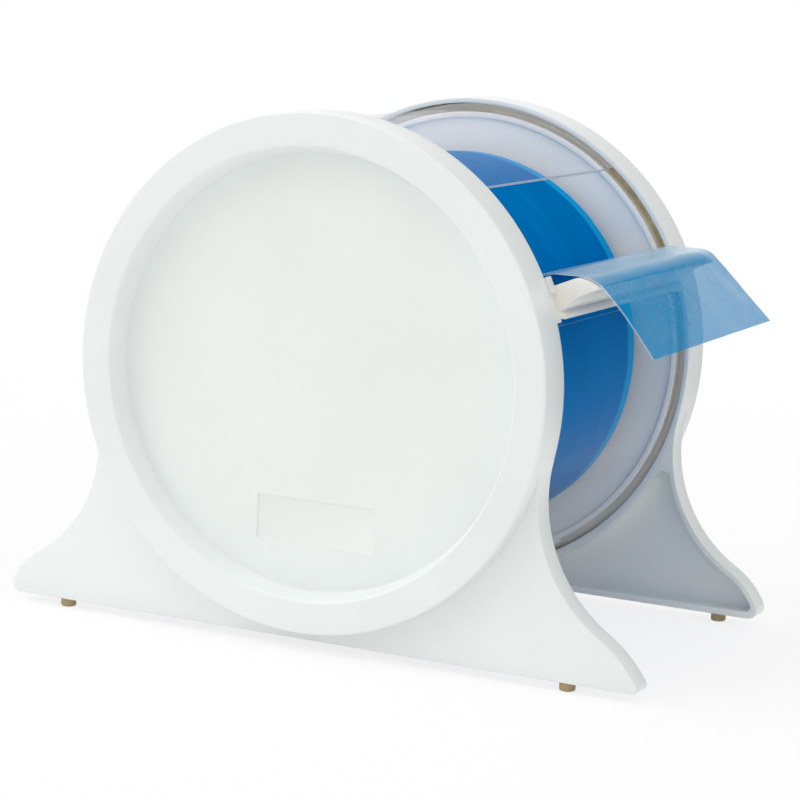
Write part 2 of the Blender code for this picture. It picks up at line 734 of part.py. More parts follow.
def build_bar():
    """Build the dispensing bar with its two ears and groove tongues."""
    nose = (-BAR_NOSE_REACH, BAR_NOSE_HEIGHT)
    under_nose = (-(BAR_NOSE_REACH - BAR_NOSE_EDGE), BAR_NOSE_HEIGHT - BAR_NOSE_EDGE)
    neck = (-BAR_NECK_REACH, BAR_NECK_HEIGHT)
    hollow = (
        neck[0] + (under_nose[0] - neck[0]) * BAR_HOLLOW_FORWARD_SHARE,
        neck[1] + (under_nose[1] - neck[1]) * BAR_HOLLOW_HEIGHT_SHARE,
    )
    brow = (-(BAR_CREST_REACH + BAR_NOSE_REACH) / 2, BAR_TOP)
    outline = [(-BAR_REAR_REACH, BAR_BASE), (-BAR_REAR_REACH, BAR_TOP - BAR_REAR_DROP)]
    outline += bend((-BAR_CREST_REACH, BAR_TOP), brow, nose)
    outline += bend(under_nose, hollow, neck)
    outline += [(-BAR_LIP_REACH, BAR_BASE + BAR_LIP_WALL), (-BAR_LIP_REACH, BAR_BASE)]
    bar = section("dispensing_bar", [outline], -BAR_END, BAR_END)
    ear_inner = BAR_REAR_REACH + EAR_PROUD
    ear_outer = RING_RADIUS - EAR_SUNK
    proud_outer = RING_RADIUS + EAR_PROUD
    ear_ends = (EAR_BOTTOM_ANGLE, EAR_TOP_ANGLE)
    proud_ends = (EAR_PROUD_BOTTOM_ANGLE, EAR_TOP_ANGLE)
    tongue_ends = (EAR_BOTTOM_ANGLE + TONGUE_INSET_ANGLE, EAR_TOP_ANGLE - TONGUE_INSET_ANGLE)
    for side in (-1, 1):
        shapes = (
            ("ear", ear_inner, ear_outer, BAR_END - OVERRUN, EAR_END, ear_ends),
            ("proud", ear_outer - OVERRUN, proud_outer, BAR_END, EAR_END, proud_ends),
            ("tongue", UPPER_COVER_INNER, LOWER_COVER_OUTER, EAR_END - OVERRUN, COVER_END,
             tongue_ends),
        )
        for name, inner, outer, near, far, (bottom, top) in shapes:
            outline = front_arc(outer, bottom, top, 2) + front_arc(inner, top, bottom, 2)
            low, high = sorted((side * near, side * far))
            combine(bar, section(f"{name}_{side}", [outline], low, high), "UNION")
    bake(bar, "bar_white")


def build_roll():
    """Build the film roll, its core, and the spindle, hubs and collars inside."""
    tube = (
        ("film_roll", ROLL_RADIUS, CORE_RADIUS + CLEARANCE, RING_STEPS, "film_blue"),
        ("roll_core", CORE_RADIUS, CORE_BORE_RADIUS, HUB_STEPS, "core_card"),
    )
    for name, outer, inner, steps, finish in tube:
        profile = [
            (-FILM_END, outer), (FILM_END, outer), (FILM_END, inner), (-FILM_END, inner),
        ]
        turned(name, profile, steps, finish)

    tip_radius = SPINDLE_RADIUS - SPINDLE_CHAMFER
    spindle_profile = [
        (-SPINDLE_END, 0),
        (-SPINDLE_END, tip_radius),
        (-(SPINDLE_END - SPINDLE_CHAMFER), SPINDLE_RADIUS),
        (SPINDLE_END - SPINDLE_CHAMFER, SPINDLE_RADIUS),
        (SPINDLE_END, tip_radius),
        (SPINDLE_END, 0),
    ]
    turned("spindle", spindle_profile, SPINDLE_STEPS, "spindle_steel")

    bore = SPINDLE_RADIUS + CLEARANCE
    boss = bore + HUB_BOSS_WALL
    plug_start = FILM_END - HUB_PLUG_LENGTH
    boss_start = FILM_END - HUB_BOSS_LENGTH
    web_start = HUB_END - HUB_WALL
    collar_end = boss_start - CLEARANCE
    for name, side in (("left", -1), ("right", 1)):
        hub_profile = [
            (side * HUB_END, bore),
            (side * HUB_END, HUB_FLANGE_RADIUS),
            (side * HUB_FACE, HUB_FLANGE_RADIUS),
            (side * HUB_FACE, HUB_RADIUS),
            (side * plug_start, HUB_RADIUS),
            (side * plug_start, HUB_RADIUS - HUB_WALL),
            (side * web_start, HUB_RADIUS - HUB_WALL),
            (side * web_start, boss),
            (side * boss_start, boss),
            (side * boss_start, bore),
        ]
        turned(f"{name}_core_hub", hub_profile, HUB_STEPS, "hub_grey")
        collar_profile = [
            (side * collar_end, bore),
            (side * collar_end, bore + COLLAR_WALL),
            (side * (collar_end - COLLAR_WIDTH), bore + COLLAR_WALL),
            (side * (collar_end - COLLAR_WIDTH), bore),
        ]
        turned(f"{name}_spindle_collar", collar_profile, SPINDLE_STEPS, "spindle_steel")


def build_bushes():
    """Build the U-shaped bearing liners that sit in the cradles."""
    outline = [(BUSH_RADIUS, CRADLE_TOP)]
    outline += arc((0, 0), BUSH_RADIUS, 0, -math.pi, 2 * ARC_STEPS)
    outline += [(-BUSH_RADIUS, CRADLE_TOP), (-BUSH_BORE_RADIUS, CRADLE_TOP)]
    outline += arc((0, 0), BUSH_BORE_RADIUS, -math.pi, 0, 2 * ARC_STEPS)
    outline.append((BUSH_BORE_RADIUS, CRADLE_TOP))
    low = CRADLE_FACE
    high = DISC_FACE - CLEARANCE
    section("left_bush", [outline], -high, -low, "bush_cream")
    section("right_bush", [outline], low, high, "bush_cream")


def film_path(edge):
    """Return one edge of the film tail as (reach, height) points from roll to free end."""
    peel_radius = ROLL_RADIUS + CLEARANCE + FILM_SOLID_WALL / 2
    start = (peel_radius * math.cos(FILM_PEEL_ANGLE), peel_radius * math.sin(FILM_PEEL_ANGLE))
    brow, bend_corner, nose, hang_corner, end = [
        (BAR_CREST_REACH + past, BAR_TOP + above) for past, above in edge
    ]
    rear = (BAR_REAR_REACH, brow[1])
    points = [
        tuple(Vector(start).lerp(Vector(rear), step / FILM_RUN_STEPS))
        for step in range(FILM_RUN_STEPS + 1)
    ]
    points += bend(brow, bend_corner, nose)
    return points + bend(nose, hang_corner, end)[1:]


def build_film_tail():
    """Build the film's free end as a ruled sheet between its two edges."""
    left = film_path(FILM_LEFT_EDGE)
    right = film_path(FILM_RIGHT_EDGE)
    mesh = bpy.data.meshes.new("film_tail")
    work = bmesh.new()
    bmesh.ops.create_grid(work, x_segments=FILM_STEPS, y_segments=len(left) - 1, size=1)
    for vert in work.verts:
        share = (vert.co.x + 1) / 2
        row = round((vert.co.y + 1) / 2 * (len(left) - 1))
        point = Vector(left[row]).lerp(Vector(right[row]), share)
        vert.co = (FILM_END * vert.co.x, -point.x, point.y)
    work.to_mesh(mesh)
    work.free()
    film = add_object("film_tail", mesh, AXIS_PLACE)
    thicken = film.modifiers.new("thickness", "SOLIDIFY")
    thicken.thickness = FILM_SOLID_WALL
    thicken.offset = 0
    bake(film, "film_pale")


def add_axis(name, pieces):
    """Hang moving pieces on an empty that stands on their joint's axis."""
    axis = bpy.data.objects.new(name, None)
    dispenser.objects.link(axis)
    axis.matrix_world = AXIS_PLACE
    bpy.context.view_layer.update()
    for piece in pieces:
        obj = bpy.data.objects[piece]
        place = obj.matrix_world.copy()
        obj.parent = axis
        obj.matrix_world = place


clear_scene()
dispenser = make_collection("barrier_film_dispenser")
cutters = make_collection("cutters")

build_sides()
build_feet()
build_covers()
build_bar()
build_roll()
build_bushes()
build_film_tail()
add_axis("cover_axis", ["upper_cover"])
add_axis(
    "roll_axis",
    [
        "film_roll",
        "roll_core",
        "spindle",
        "left_core_hub",
        "right_core_hub",
        "left_spindle_collar",
        "right_spindle_collar",
    ],
)
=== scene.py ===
"""Looks of the barrier film dispenser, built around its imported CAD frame.

Two dished side panels on splayed legs carry a clear drum with a roll of blue film,
whose loose end lies over a bar at the front. Metres, the roll's axis along X, the
front at -Y, and the table at Z 0.
"""

import math

import bpy
from bpy.props import FloatProperty, FloatVectorProperty, PointerProperty
from mathutils import Matrix, Vector, noise


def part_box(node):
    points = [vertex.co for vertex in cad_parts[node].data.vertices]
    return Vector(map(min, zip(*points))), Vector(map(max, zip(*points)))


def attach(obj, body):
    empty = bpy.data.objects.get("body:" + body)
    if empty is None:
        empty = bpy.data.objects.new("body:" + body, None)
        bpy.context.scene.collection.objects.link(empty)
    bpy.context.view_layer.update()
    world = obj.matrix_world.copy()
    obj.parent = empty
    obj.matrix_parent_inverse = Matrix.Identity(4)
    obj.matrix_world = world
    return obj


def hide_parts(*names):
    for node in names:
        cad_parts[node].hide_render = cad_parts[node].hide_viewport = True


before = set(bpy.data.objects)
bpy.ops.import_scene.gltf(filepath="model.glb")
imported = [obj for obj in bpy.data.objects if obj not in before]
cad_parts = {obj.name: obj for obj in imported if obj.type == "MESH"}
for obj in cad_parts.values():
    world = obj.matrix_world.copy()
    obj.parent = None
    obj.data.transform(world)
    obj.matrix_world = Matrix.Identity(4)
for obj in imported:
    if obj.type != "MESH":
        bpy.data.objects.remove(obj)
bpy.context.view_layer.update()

bl_info = {
    "name": "Barrier Film Dispenser",
    "version": (1, 0, 0),
    "blender": (4, 5, 0),
    "location": "View3D > Sidebar > Dispenser",
    "description": "Builds the finished pieces and the stage of a barrier film dispenser",
    "category": "Object",
}

# Sizes read from the frame
ROLL_LOW, ROLL_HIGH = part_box("film_roll")
PANEL_LOW, PANEL_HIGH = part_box("left_panel")
UPPER_COVER_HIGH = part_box("upper_cover")[1]
LOWER_COVER_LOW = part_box("lower_cover")[0]
BAR_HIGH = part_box("dispensing_bar")[1]
FOOT_RADIUS = (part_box("left_front_foot")[1].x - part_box("left_front_foot")[0].x) / 2
AXIS_HEIGHT = (ROLL_LOW.z + ROLL_HIGH.z) / 2
FILM_END = ROLL_HIGH.x
ROLL_RADIUS = ROLL_HIGH.z - AXIS_HEIGHT
RING_FACE = -PANEL_LOW.x
LIP_PLANE = -PANEL_HIGH.x
RING_RADIUS = PANEL_HIGH.z - AXIS_HEIGHT
LEG_BOTTOM = PANEL_LOW.z - AXIS_HEIGHT
LONG_REACH = -PANEL_LOW.y
SHORT_REACH = PANEL_HIGH.y
UPPER_COVER_OUTER = UPPER_COVER_HIGH.z - AXIS_HEIGHT
LOWER_COVER_OUTER = AXIS_HEIGHT - LOWER_COVER_LOW.z
COVER_END = UPPER_COVER_HIGH.x
BAR_TOP = BAR_HIGH.z - AXIS_HEIGHT
CORE_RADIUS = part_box("roll_core")[1].z - AXIS_HEIGHT

# Gaps and walls, as the solids have them
GAP = 0.0003
OVERRUN = 0.0010
COVER_WALL = 0.0012
SHELL_WALL = 0.0024
RING_BAND = 0.0116
RECESS_DRAFT = 0.0013
RECESS_DEPTH = 0.0082
LEG_DEPTH = 0.0088
LEG_WALL = 0.0018
LEG_FACE_WALL = 0.0025
LEG_FLANGE = 0.0024
POCKET_RIB = 0.0010
DISC_WALL = 0.0024
DISC_LIP_WALL = 0.0020
DISC_FLANGE_WALL = 0.0016
GROOVE_DEPTH = 0.0050
BOSS_RADIUS = 0.0036
SCREW_HOLE_RADIUS = 0.0017
SCREW_CIRCLE = 0.0450
SCREW_HOLE_DEPTH = 0.0015
FOOT_STEM_RADIUS = 0.0015
FOOT_STEM_LENGTH = 0.0014
CRADLE_FACE = 0.0528
CRADLE_BORE = 0.0072
CRADLE_WALL = 0.0035
CRADLE_TOP = 0.0080
CRADLE_FOOT = 0.0150

UPPER_COVER_INNER = UPPER_COVER_OUTER - COVER_WALL
LOWER_COVER_INNER = LOWER_COVER_OUTER - COVER_WALL
GROOVE_RADIUS = LOWER_COVER_OUTER + GAP
RING_FACE_INNER = RING_RADIUS - RING_BAND
RECESS_RADIUS = RING_FACE_INNER - RECESS_DRAFT
RECESS_FACE = RING_FACE - RECESS_DEPTH
RECESS_BACK = RECESS_FACE - SHELL_WALL
LEG_FACE = LIP_PLANE + LEG_DEPTH
GROOVE_FLOOR = LIP_PLANE + GROOVE_DEPTH
DISC_BACK = RECESS_BACK - GAP
DISC_FACE = DISC_BACK - DISC_WALL
DISC_RADIUS = UPPER_COVER_INNER - GAP

# The covers' ends and the stop lug, as angles from the front upwards
LOWER_COVER_ENDS = (math.radians(-200.0), math.radians(15.7))
UPPER_COVER_ENDS = (math.radians(51.5), math.radians(195.0))
STOP_LUG_ENDS = (math.radians(296.5), math.radians(299.5))

# Legs: reach, radii of flare, calf and toe, and the angle where the calf meets the toe
LONG_LEG = (LONG_REACH, 0.0517, 0.0470, 0.0018, math.radians(33.2))
SHORT_LEG = (SHORT_REACH, 0.0492, 0.0300, 0.0032, math.radians(27.5))
POCKET_APEX = 0.0030
POCKET_TOE = 0.0020
POCKET_HEEL = 0.0012

# Label field sunk in the dished face
LABEL_WIDTH = 0.0450
LABEL_HEIGHT = 0.0155
LABEL_DROP = 0.0512
LABEL_FORWARD = 0.0016
LABEL_SINK = 0.0004

# Dispensing bar, as reaches in front of the axis and heights above it
BAR_END = 0.0528
EAR_END = LIP_PLANE - GAP
BAR_REAR = 0.0800
BAR_REAR_DROP = 0.0035
BAR_CREST = 0.0884
BAR_NOSE = 0.0964
BAR_NECK = 0.0838
BAR_LIP = 0.0856
BAR_BASE = BAR_TOP - 0.0136
BAR_NOSE_HEIGHT = BAR_TOP - 0.0026
BAR_NOSE_EDGE = 0.0008
BAR_NECK_HEIGHT = BAR_BASE + 0.0022
BAR_LIP_WALL = 0.0014
BAR_HOLLOW_FORWARD_SHARE = 1 / 3
BAR_HOLLOW_HEIGHT_SHARE = 2 / 3
EAR_RADII = (0.0810, 0.0876)
EAR_PROUD_RADIUS = 0.0890
EAR_ANGLES = (math.radians(16.4), math.radians(26.4))
EAR_PROUD_ANGLES = (math.radians(22.8), math.radians(26.4))
TONGUE_INSET = math.radians(0.6)

# Film tail: its peel line on the roll, and for each edge how far past the bar's crest and
# above its top the edge starts to bend, the bend's corner, the nose, the hang's corner, its end
FILM_PEEL_ANGLE = math.radians(30.3)
FILM_LIFT = 0.0005
FILM_LEFT_EDGE = (
    (0.0000, 0.0005), (0.0040, 0.0005), (0.00835, -0.00225), (0.0183, -0.0126), (0.0270, -0.0243))
FILM_RIGHT_EDGE = (
    (0.00365, 0.0014), (0.0068, 0.0014), (0.0091, -0.00075), (0.0202, -0.0111), (0.0312, -0.0215))
FILM_BEND_STEPS = 24
FILM_ROWS = 120
FILM_COLUMNS = 90

# Small rounds and setbacks that only the finished pieces have
LIP_ROUND = 0.0003
DISH_SLOPE = 0.0002
DISH_FLOOR_RUN = 0.0040
RIM_SETBACK = 0.0020
LABEL_EDGE_ROUND = 0.0002
DISC_ROUND = 0.0004
DISC_FLOOR_RUN = 0.0040
CRADLE_ROUND = 0.0004
BAR_REAR_ROUND = 0.0006
BAR_END_ROUND = 0.00025
ROLL_ROUND = 0.0005
ROLL_END_RUN = 0.0030
FOOT_ROUND = 0.0007
FOOT_TOP_ROUND = 0.0003
FOOT_FLAT_INSET = 0.0016
PAINT_MARGIN = 0.0001

# Paler band along the roll's ends; a painted glint along the left edge of its loose end, and the
# colour of that end's painted sheen
ROLL_BAND = (0.0062, 0.0052)
TAIL_GLINT_WIDTHS = (0.0006, 0.0009)
TAIL_GLINT_COLOUR = (0.9, 0.95, 1.0)
TAIL_SHEEN_COLOUR = (0.75, 0.92, 1.0)

# How the loose end wrinkles: where it starts to, over what share, folds across and along
WRINKLE_START_SHARE = 0.50
WRINKLE_FADE_SHARE = 0.25
WRINKLE_FOLDS = (3.2, 2.2)
WRINKLE_SEED = 0.7
CURL_SHARE = 0.022
CURL_POWER = 1.6

# Facets
ROUND_STEPS = 180
CURVE_STEPS = 30
CORNER_STEPS = 5
BAR_BEND_STEPS = 12
PENCIL = 0.0001
WELD = 0.000002
SMOOTH = math.radians(35)

# Camera, solved from the rings, the grooves and the feet in the photograph
CAMERA_AZIMUTH = math.radians(-63.489)
CAMERA_ELEVATION = math.radians(10.327)
CAMERA_ROLL = math.radians(2.3736)
CAMERA_AIM = Vector((0, 0, 0.06374))
CAMERA_DISTANCE = 1.0013
CAMERA_LENS = 126.02
CAMERA_SHIFT = (0.0045, 0.0478)
SENSOR_WIDTH = 36.0

# Stage: each lamp's place, the height that it aims at and its size, then the floor
TOP_LAMP = ((-0.30, 0.20, 1.4), 0.08, 1.2)
REAR_LAMP = ((-0.7, 1.2, 1.0), 0.09, 1.0)
FRONT_LAMP = ((-0.5, -1.5, 0.8), 0.09, 1.0)
FLOOR_RADIUS = 8.0
FLOOR_FADE = (0.30, 0.60)
FLOOR_MIRROR_FADE = (0.22, 0.42)


def from_hex(text):
    """Turn an sRGB hex colour into linear red, green and blue."""
    values = [int(text[index:index + 2], 16) / 255 for index in (0, 2, 4)]
    return tuple(v / 12.92 if v <= 0.04045 else ((v + 0.055) / 1.055) ** 2.4 for v in values)


def colour(name, description, text):
    """Make a colour property with a hex default."""
    return FloatVectorProperty(
        name=name, description=description, default=from_hex(text), subtype="COLOR",
        size=3, min=0.0, max=1.0)


def length(name, description, default, high):
    """Make a length property that goes from nothing to its highest value."""
    return FloatProperty(
        name=name, description=description, default=default, min=0.0, max=high,
        unit="LENGTH", precision=5)


def level(name, description, default, high):
    """Make a plain number property that goes from nothing to its highest value."""
    return FloatProperty(
        name=name, description=description, default=default, min=0.0, max=high)


class DispenserShape(bpy.types.PropertyGroup):
    """Sizes of the finished pieces that the solids leave plain."""

    rim_round: length("Rim Round", "Radius of the ring's outer edge", 0.0008, 0.0015)
    dish_round: length("Dish Round", "Radius where the ring's face turns down", 0.0009, 0.0015)
    dish_fillet: length("Dish Fillet", "Radius where the dish meets its floor", 0.0010, 0.0020)
    leg_round: length("Leg Edge Round", "Width of the bevel on the legs' edges", 0.0005, 0.0010)
    leg_rim_round: length("Leg Rim Round", "Radius of the rims round the pockets", 0.0008, 0.0009)
    pocket_fillet: length("Pocket Fillet", "Fillet at the bottom of the pockets", 0.0009, 0.0012)
    film_wall: length("Film Thickness", "Thickness of the loose end of the film", 0.0001, 0.0004)
    film_wrinkle: length("Film Wrinkle", "Height of the loose end's wrinkles", 0.0005, 0.0015)
    film_curl: length("Film Edge Curl", "Rise of the loose end's curled left edge", 0.0005, 0.0020)


class DispenserFinish(bpy.types.PropertyGroup):
    """Colours of the finished pieces."""

    ring: colour("Ring", "Polished white of the side panels", "F0F4F3")
    dish: colour("Dish", "Fine matt white of the dished face", "EFF4F2")
    disc: colour("Inner Disc", "White of the walls beside the roll", "FBFAF8")
    # Olive brown laid on the groove faces, patchy by noise.
    groove: colour("Groove", "Dust and grease in the covers' grooves", "F0DDB0")
    bar: colour("Bar", "White of the dispensing bar", "F1F0EA")
    # The cover colour also tints the painted reflection where the covers are seen edge-on.
    cover: colour("Cover", "Haze of the clear covers", "D6D8E4")
    cover_edge: colour("Cover Edge", "Sawn ends of the clear covers", "F0ECE8")
    film: colour("Film", "Blue of the wound film", "0078C3")
    film_band: colour("Film Band", "Lighter blue along the roll's ends", "19A2E0")
    tail: colour("Film Tail", "Blue of a single sheet of film", "00A0DC")
    core: colour("Core", "Grey-brown card", "B3AA98")
    hub: colour("Hub", "Grey of the core hubs", "8C8F92")
    bush: colour("Bush", "Cream of the bearing bushes", "E3DFD0")
    steel: colour("Steel", "Ground and plated steel", "C4C6C8")
    foot: colour("Foot", "Tan of the rubber feet", "C4AC84")
    floor: colour("Floor", "Pale studio floor", "FAFAFA")


class DispenserLight(bpy.types.PropertyGroup):
    """Levels of the studio light."""

    sky: level("Sky", "Strength of the soft sky", 0.72, 2.0)
    top: level("Top Lamp", "Watts of the lamp above", 4.0, 100.0)
    rear: level("Rear Lamp", "Watts of the lamp behind on the left", 6.0, 100.0)
    front: level("Front Lamp", "Watts of the lamp in front on the left", 1.4, 100.0)
    floor_glow: level("Floor Glow", "Share of plain white that the camera sees", 0.78, 1.0)


# Drawing in the plane across the roll's axis, as (Y, height above the axis)


def on_circle(centre, radius, angle):
    """Return the point of a circle."""
    return (centre[0] + radius * math.cos(angle), centre[1] + radius * math.sin(angle))


def arc(centre, radius, start, end, steps=CURVE_STEPS):
    """Return points along an arc, both ends included."""
    return [on_circle(centre, radius, start + (end - start) * i / steps) for i in range(steps + 1)]


def front_arc(radius, start, end, steps):
    """Return points of an arc about the axis, in angles from the front upwards."""
    return [(-across, height) for across, height in arc((0, 0), radius, start, end, steps)]


def heading(start, end):
    """Return the angle of the line from one point to another."""
    return math.atan2(end[1] - start[1], end[0] - start[0])


def meeting_points(centre_a, radius_a, centre_b, radius_b):
    """Return both points where two circles meet, the lower one first."""
    line = Vector(centre_b) - Vector(centre_a)
    span = line.length
    along = (radius_a**2 - radius_b**2 + span**2) / (2 * span)
    across = math.sqrt(max(radius_a**2 - along**2, 0))
    aside = Vector((-line.y, line.x)) * (across / span)
    middle = Vector(centre_a) + line * (along / span)
    return sorted((tuple(middle - aside), tuple(middle + aside)), key=lambda point: point[1])


def bend(start, control, end, steps=10):
    """Return points along a curve that leaves start and reaches end towards control."""
    points = []
    for i in range(steps + 1):
        near = Vector(start).lerp(Vector(control), i / steps)
        far = Vector(control).lerp(Vector(end), i / steps)
        points.append(tuple(near.lerp(far, i / steps)))
    return points


def leg_centres(leg):
    """Return the centres of a leg's flare, calf and toe arcs."""
    reach, flare, calf, toe, calf_angle = leg
    toe_centre = (reach - toe, LEG_BOTTOM + toe)
    calf_centre = on_circle(toe_centre, toe - calf, calf_angle)
    flare_centre = meeting_points((0, 0), RING_RADIUS + flare, calf_centre, calf + flare)[1]
    return flare_centre, calf_centre, toe_centre


def leg_outline(leg):
    """Return a leg's outline from the ring down to the floor side of its toe."""
    _, flare, calf, toe, calf_angle = leg
    flare_centre, calf_centre, toe_centre = leg_centres(leg)
    top = heading(flare_centre, (0, 0)) % math.tau
    bottom = heading(flare_centre, calf_centre) % math.tau
    points = arc(flare_centre, flare, top, bottom)
    points += arc(calf_centre, calf, heading(calf_centre, flare_centre), calf_angle)[1:]
    return points + arc(toe_centre, toe, calf_angle, -math.pi / 2, CORNER_STEPS)[1:]


def pocket_outline(leg):
    """Return the outline of the open pocket behind a leg."""
    _, flare, calf, _, _ = leg
    flare_centre, calf_centre, _ = leg_centres(leg)
    ring = RING_RADIUS + POCKET_RIB
    floor = LEG_BOTTOM + LEG_FLANGE
    flare_side = flare + LEG_WALL
    calf_side = calf - LEG_WALL
    apex = meeting_points((0, 0), ring + POCKET_APEX, flare_centre, flare_side + POCKET_APEX)[0]
    toe_height = floor + POCKET_TOE
    toe_run = math.sqrt((calf_side - POCKET_TOE) ** 2 - (toe_height - calf_centre[1]) ** 2)
    toe = (calf_centre[0] + toe_run, toe_height)
    heel_height = floor + POCKET_HEEL
    heel = (math.sqrt((ring + POCKET_HEEL) ** 2 - heel_height**2), heel_height)
    points = arc((0, 0), ring, heading((0, 0), heel), heading((0, 0), apex))
    points += arc(
        apex, POCKET_APEX, heading(apex, (0, 0)) % math.tau, heading(apex, flare_centre),
        CORNER_STEPS)[1:]
    knee = heading(flare_centre, calf_centre) % math.tau
    points += arc(flare_centre, flare_side, heading(flare_centre, apex) % math.tau, knee)[1:]
    toe_angle = heading(calf_centre, toe)
    points += arc(calf_centre, calf_side, heading(calf_centre, flare_centre), toe_angle)[1:]
    points += arc(toe, POCKET_TOE, toe_angle, -math.pi / 2, CORNER_STEPS)[1:]
    heel_end = heading(heel, (0, 0)) % math.tau
    return points + arc(heel, POCKET_HEEL, 3 * math.pi / 2, heel_end, CORNER_STEPS)[:-1]


def facing(side, points):
    """Put a leg's points on the front (side -1) or the rear (side 1)."""
    return [(side * across, height) for across, height in points]


# Modelling by operators


def clear_selection():
    """Leave edit mode and deselect everything, the frame's nodes too."""
    if bpy.context.object and bpy.context.object.mode != "OBJECT":
        bpy.ops.object.mode_set(mode="OBJECT")
    bpy.ops.object.select_all(action="DESELECT")


def choose(obj):
    """Make one object the only selected and the active one."""
    clear_selection()
    obj.select_set(True)
    bpy.context.view_layer.objects.active = obj


def name_piece(piece, name):
    """Name a piece and its data alike."""
    piece.name = name
    piece.data.name = name


def apply_place():
    """Put the active piece's place, turn and scale into its mesh."""
    bpy.ops.object.transform_apply(location=True, rotation=True, scale=True)


def apply_modifier(piece, kind, **settings):
    """Change a piece by one modifier and keep only its result."""
    choose(piece)
    bpy.ops.object.modifier_add(type=kind)
    change = piece.modifiers[-1]
    for name, value in settings.items():
        setattr(change, name, value)
    bpy.ops.object.modifier_apply(modifier=change.name)


def add_slot(piece):
    """Give a piece one more material slot."""
    choose(piece)
    bpy.ops.object.material_slot_add()


def draw_line(name, points):
    """Draw a line through points in space by extruding one vertex from each to the next."""
    clear_selection()
    bpy.ops.mesh.primitive_plane_add(size=PENCIL, location=points[0])
    line = bpy.context.object
    name_piece(line, name)
    apply_place()
    bpy.ops.object.mode_set(mode="EDIT")
    bpy.ops.mesh.select_mode(type="VERT")
    bpy.ops.mesh.select_all(action="SELECT")
    bpy.ops.mesh.merge(type="CENTER")
    for here, there in zip(points, points[1:]):
        step = Vector(there) - Vector(here)
        bpy.ops.mesh.extrude_vertices_move(TRANSFORM_OT_translate={"value": step})
    bpy.ops.mesh.select_all(action="SELECT")
    return line


def close_up():
    """Merge doubles, fill what is open, point faces outwards and leave edit mode."""
    bpy.ops.mesh.select_all(action="SELECT")
    bpy.ops.mesh.remove_doubles(threshold=WELD)
    bpy.ops.mesh.fill_holes(sides=0)
    bpy.ops.mesh.select_all(action="SELECT")
    bpy.ops.mesh.normals_make_consistent(inside=False)
    bpy.ops.object.mode_set(mode="OBJECT")


def section(name, outline, low, high):
    """Extrude a closed outline of (Y, height above the axis) from X low to X high."""
    points = [(low, across, AXIS_HEIGHT + height) for across, height in outline]
    piece = draw_line(name, points)
    bpy.ops.mesh.edge_face_add()
    bpy.ops.mesh.extrude_region_move(TRANSFORM_OT_translate={"value": (high - low, 0, 0)})
    close_up()
    return piece


def turned(name, profile, steps=ROUND_STEPS):
    """Spin a profile of (X, radius) about the roll's axis and fill its open ends."""
    piece = draw_line(name, [(along, 0, AXIS_HEIGHT + radius) for along, radius in profile])
    bpy.ops.mesh.spin(
        steps=steps, angle=math.tau, center=(0, 0, AXIS_HEIGHT), axis=(1, 0, 0))
    close_up()
    return piece


def corner(profile_before, at, profile_after, radius, steps=CORNER_STEPS):
    """Return points that round one corner of a profile with a given radius."""
    back = (Vector(profile_before) - Vector(at)).normalized() * radius
    forth = (Vector(profile_after) - Vector(at)).normalized() * radius
    start = Vector(at) + back
    end = Vector(at) + forth
    return bend(start, at, end, steps)


def pick_edges(piece, wanted):
    """Select the edges whose two ends pass a test, and stay in edit mode."""
    choose(piece)
    bpy.ops.object.mode_set(mode="EDIT")
    bpy.ops.mesh.select_mode(type="EDGE")
    bpy.ops.mesh.select_all(action="DESELECT")
    bpy.ops.object.mode_set(mode="OBJECT")
    places = [vert.co for vert in piece.data.vertices]
    for edge in piece.data.edges:
        edge.select = all(wanted(places[index]) for index in edge.vertices)
    bpy.ops.object.mode_set(mode="EDIT")


def bevel_edges(piece, wanted, width, segments=3):
    """Round the edges whose two ends pass a test."""
    pick_edges(piece, wanted)
    bpy.ops.mesh.bevel(offset=width, segments=segments, affect="EDGES", clamp_overlap=True)
    close_up()


def paint_faces(piece, material, wanted):
    """Give a second material to the faces whose centre and normal pass a test."""
    add_slot(piece)
    piece.material_slots[-1].material = material
    piece.active_material_index = len(piece.material_slots) - 1
    bpy.ops.object.mode_set(mode="EDIT")
    bpy.ops.mesh.select_mode(type="FACE")
    bpy.ops.mesh.select_all(action="DESELECT")
    bpy.ops.object.mode_set(mode="OBJECT")
    for face in piece.data.polygons:
        face.select = wanted(face.center, face.normal)
    bpy.ops.object.mode_set(mode="EDIT")
    bpy.ops.object.material_slot_assign()
    bpy.ops.object.mode_set(mode="OBJECT")


def combine(target, tool, operation):
    """Join or cut one piece with another, which is used up."""
    apply_modifier(target, "BOOLEAN", operation=operation, solver="EXACT", object=tool)
    choose(tool)
    bpy.ops.object.delete()


def pin(name, radius, low, high, across, height, steps=32):
    """Add a round pin along X as a tool for a hole or a boss."""
    clear_selection()
    place = ((low + high) / 2, across, AXIS_HEIGHT + height)
    bpy.ops.mesh.primitive_cylinder_add(
        vertices=steps, radius=radius, depth=high - low, location=place,
        rotation=(0, math.pi / 2, 0))
    name_piece(bpy.context.object, name)
    apply_place()
    return bpy.context.object


def turn_round(piece, name):
    """Copy a left-hand piece to the right by half a turn about the upright axis."""
    choose(piece)
    bpy.ops.object.duplicate(linked=False)
    copy = bpy.context.object
    name_piece(copy, name)
    copy.rotation_euler = (0, 0, math.pi)
    apply_place()
    return copy


def distance_from_axis(place):
    """Return how far a point lies from the roll's axis."""
    return math.hypot(place[1], place[2] - AXIS_HEIGHT)


def finish_piece(piece, material, body, slot, *nodes):
    """Shade a piece, give it its main material and tie it to the frame."""
    choose(piece)
    bpy.ops.object.shade_smooth_by_angle(angle=SMOOTH)
    if not piece.material_slots:
        bpy.ops.object.material_slot_add()
    piece.material_slots[0].material = material
    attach(piece, body)
    if nodes:
        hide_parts(*nodes)


# Materials


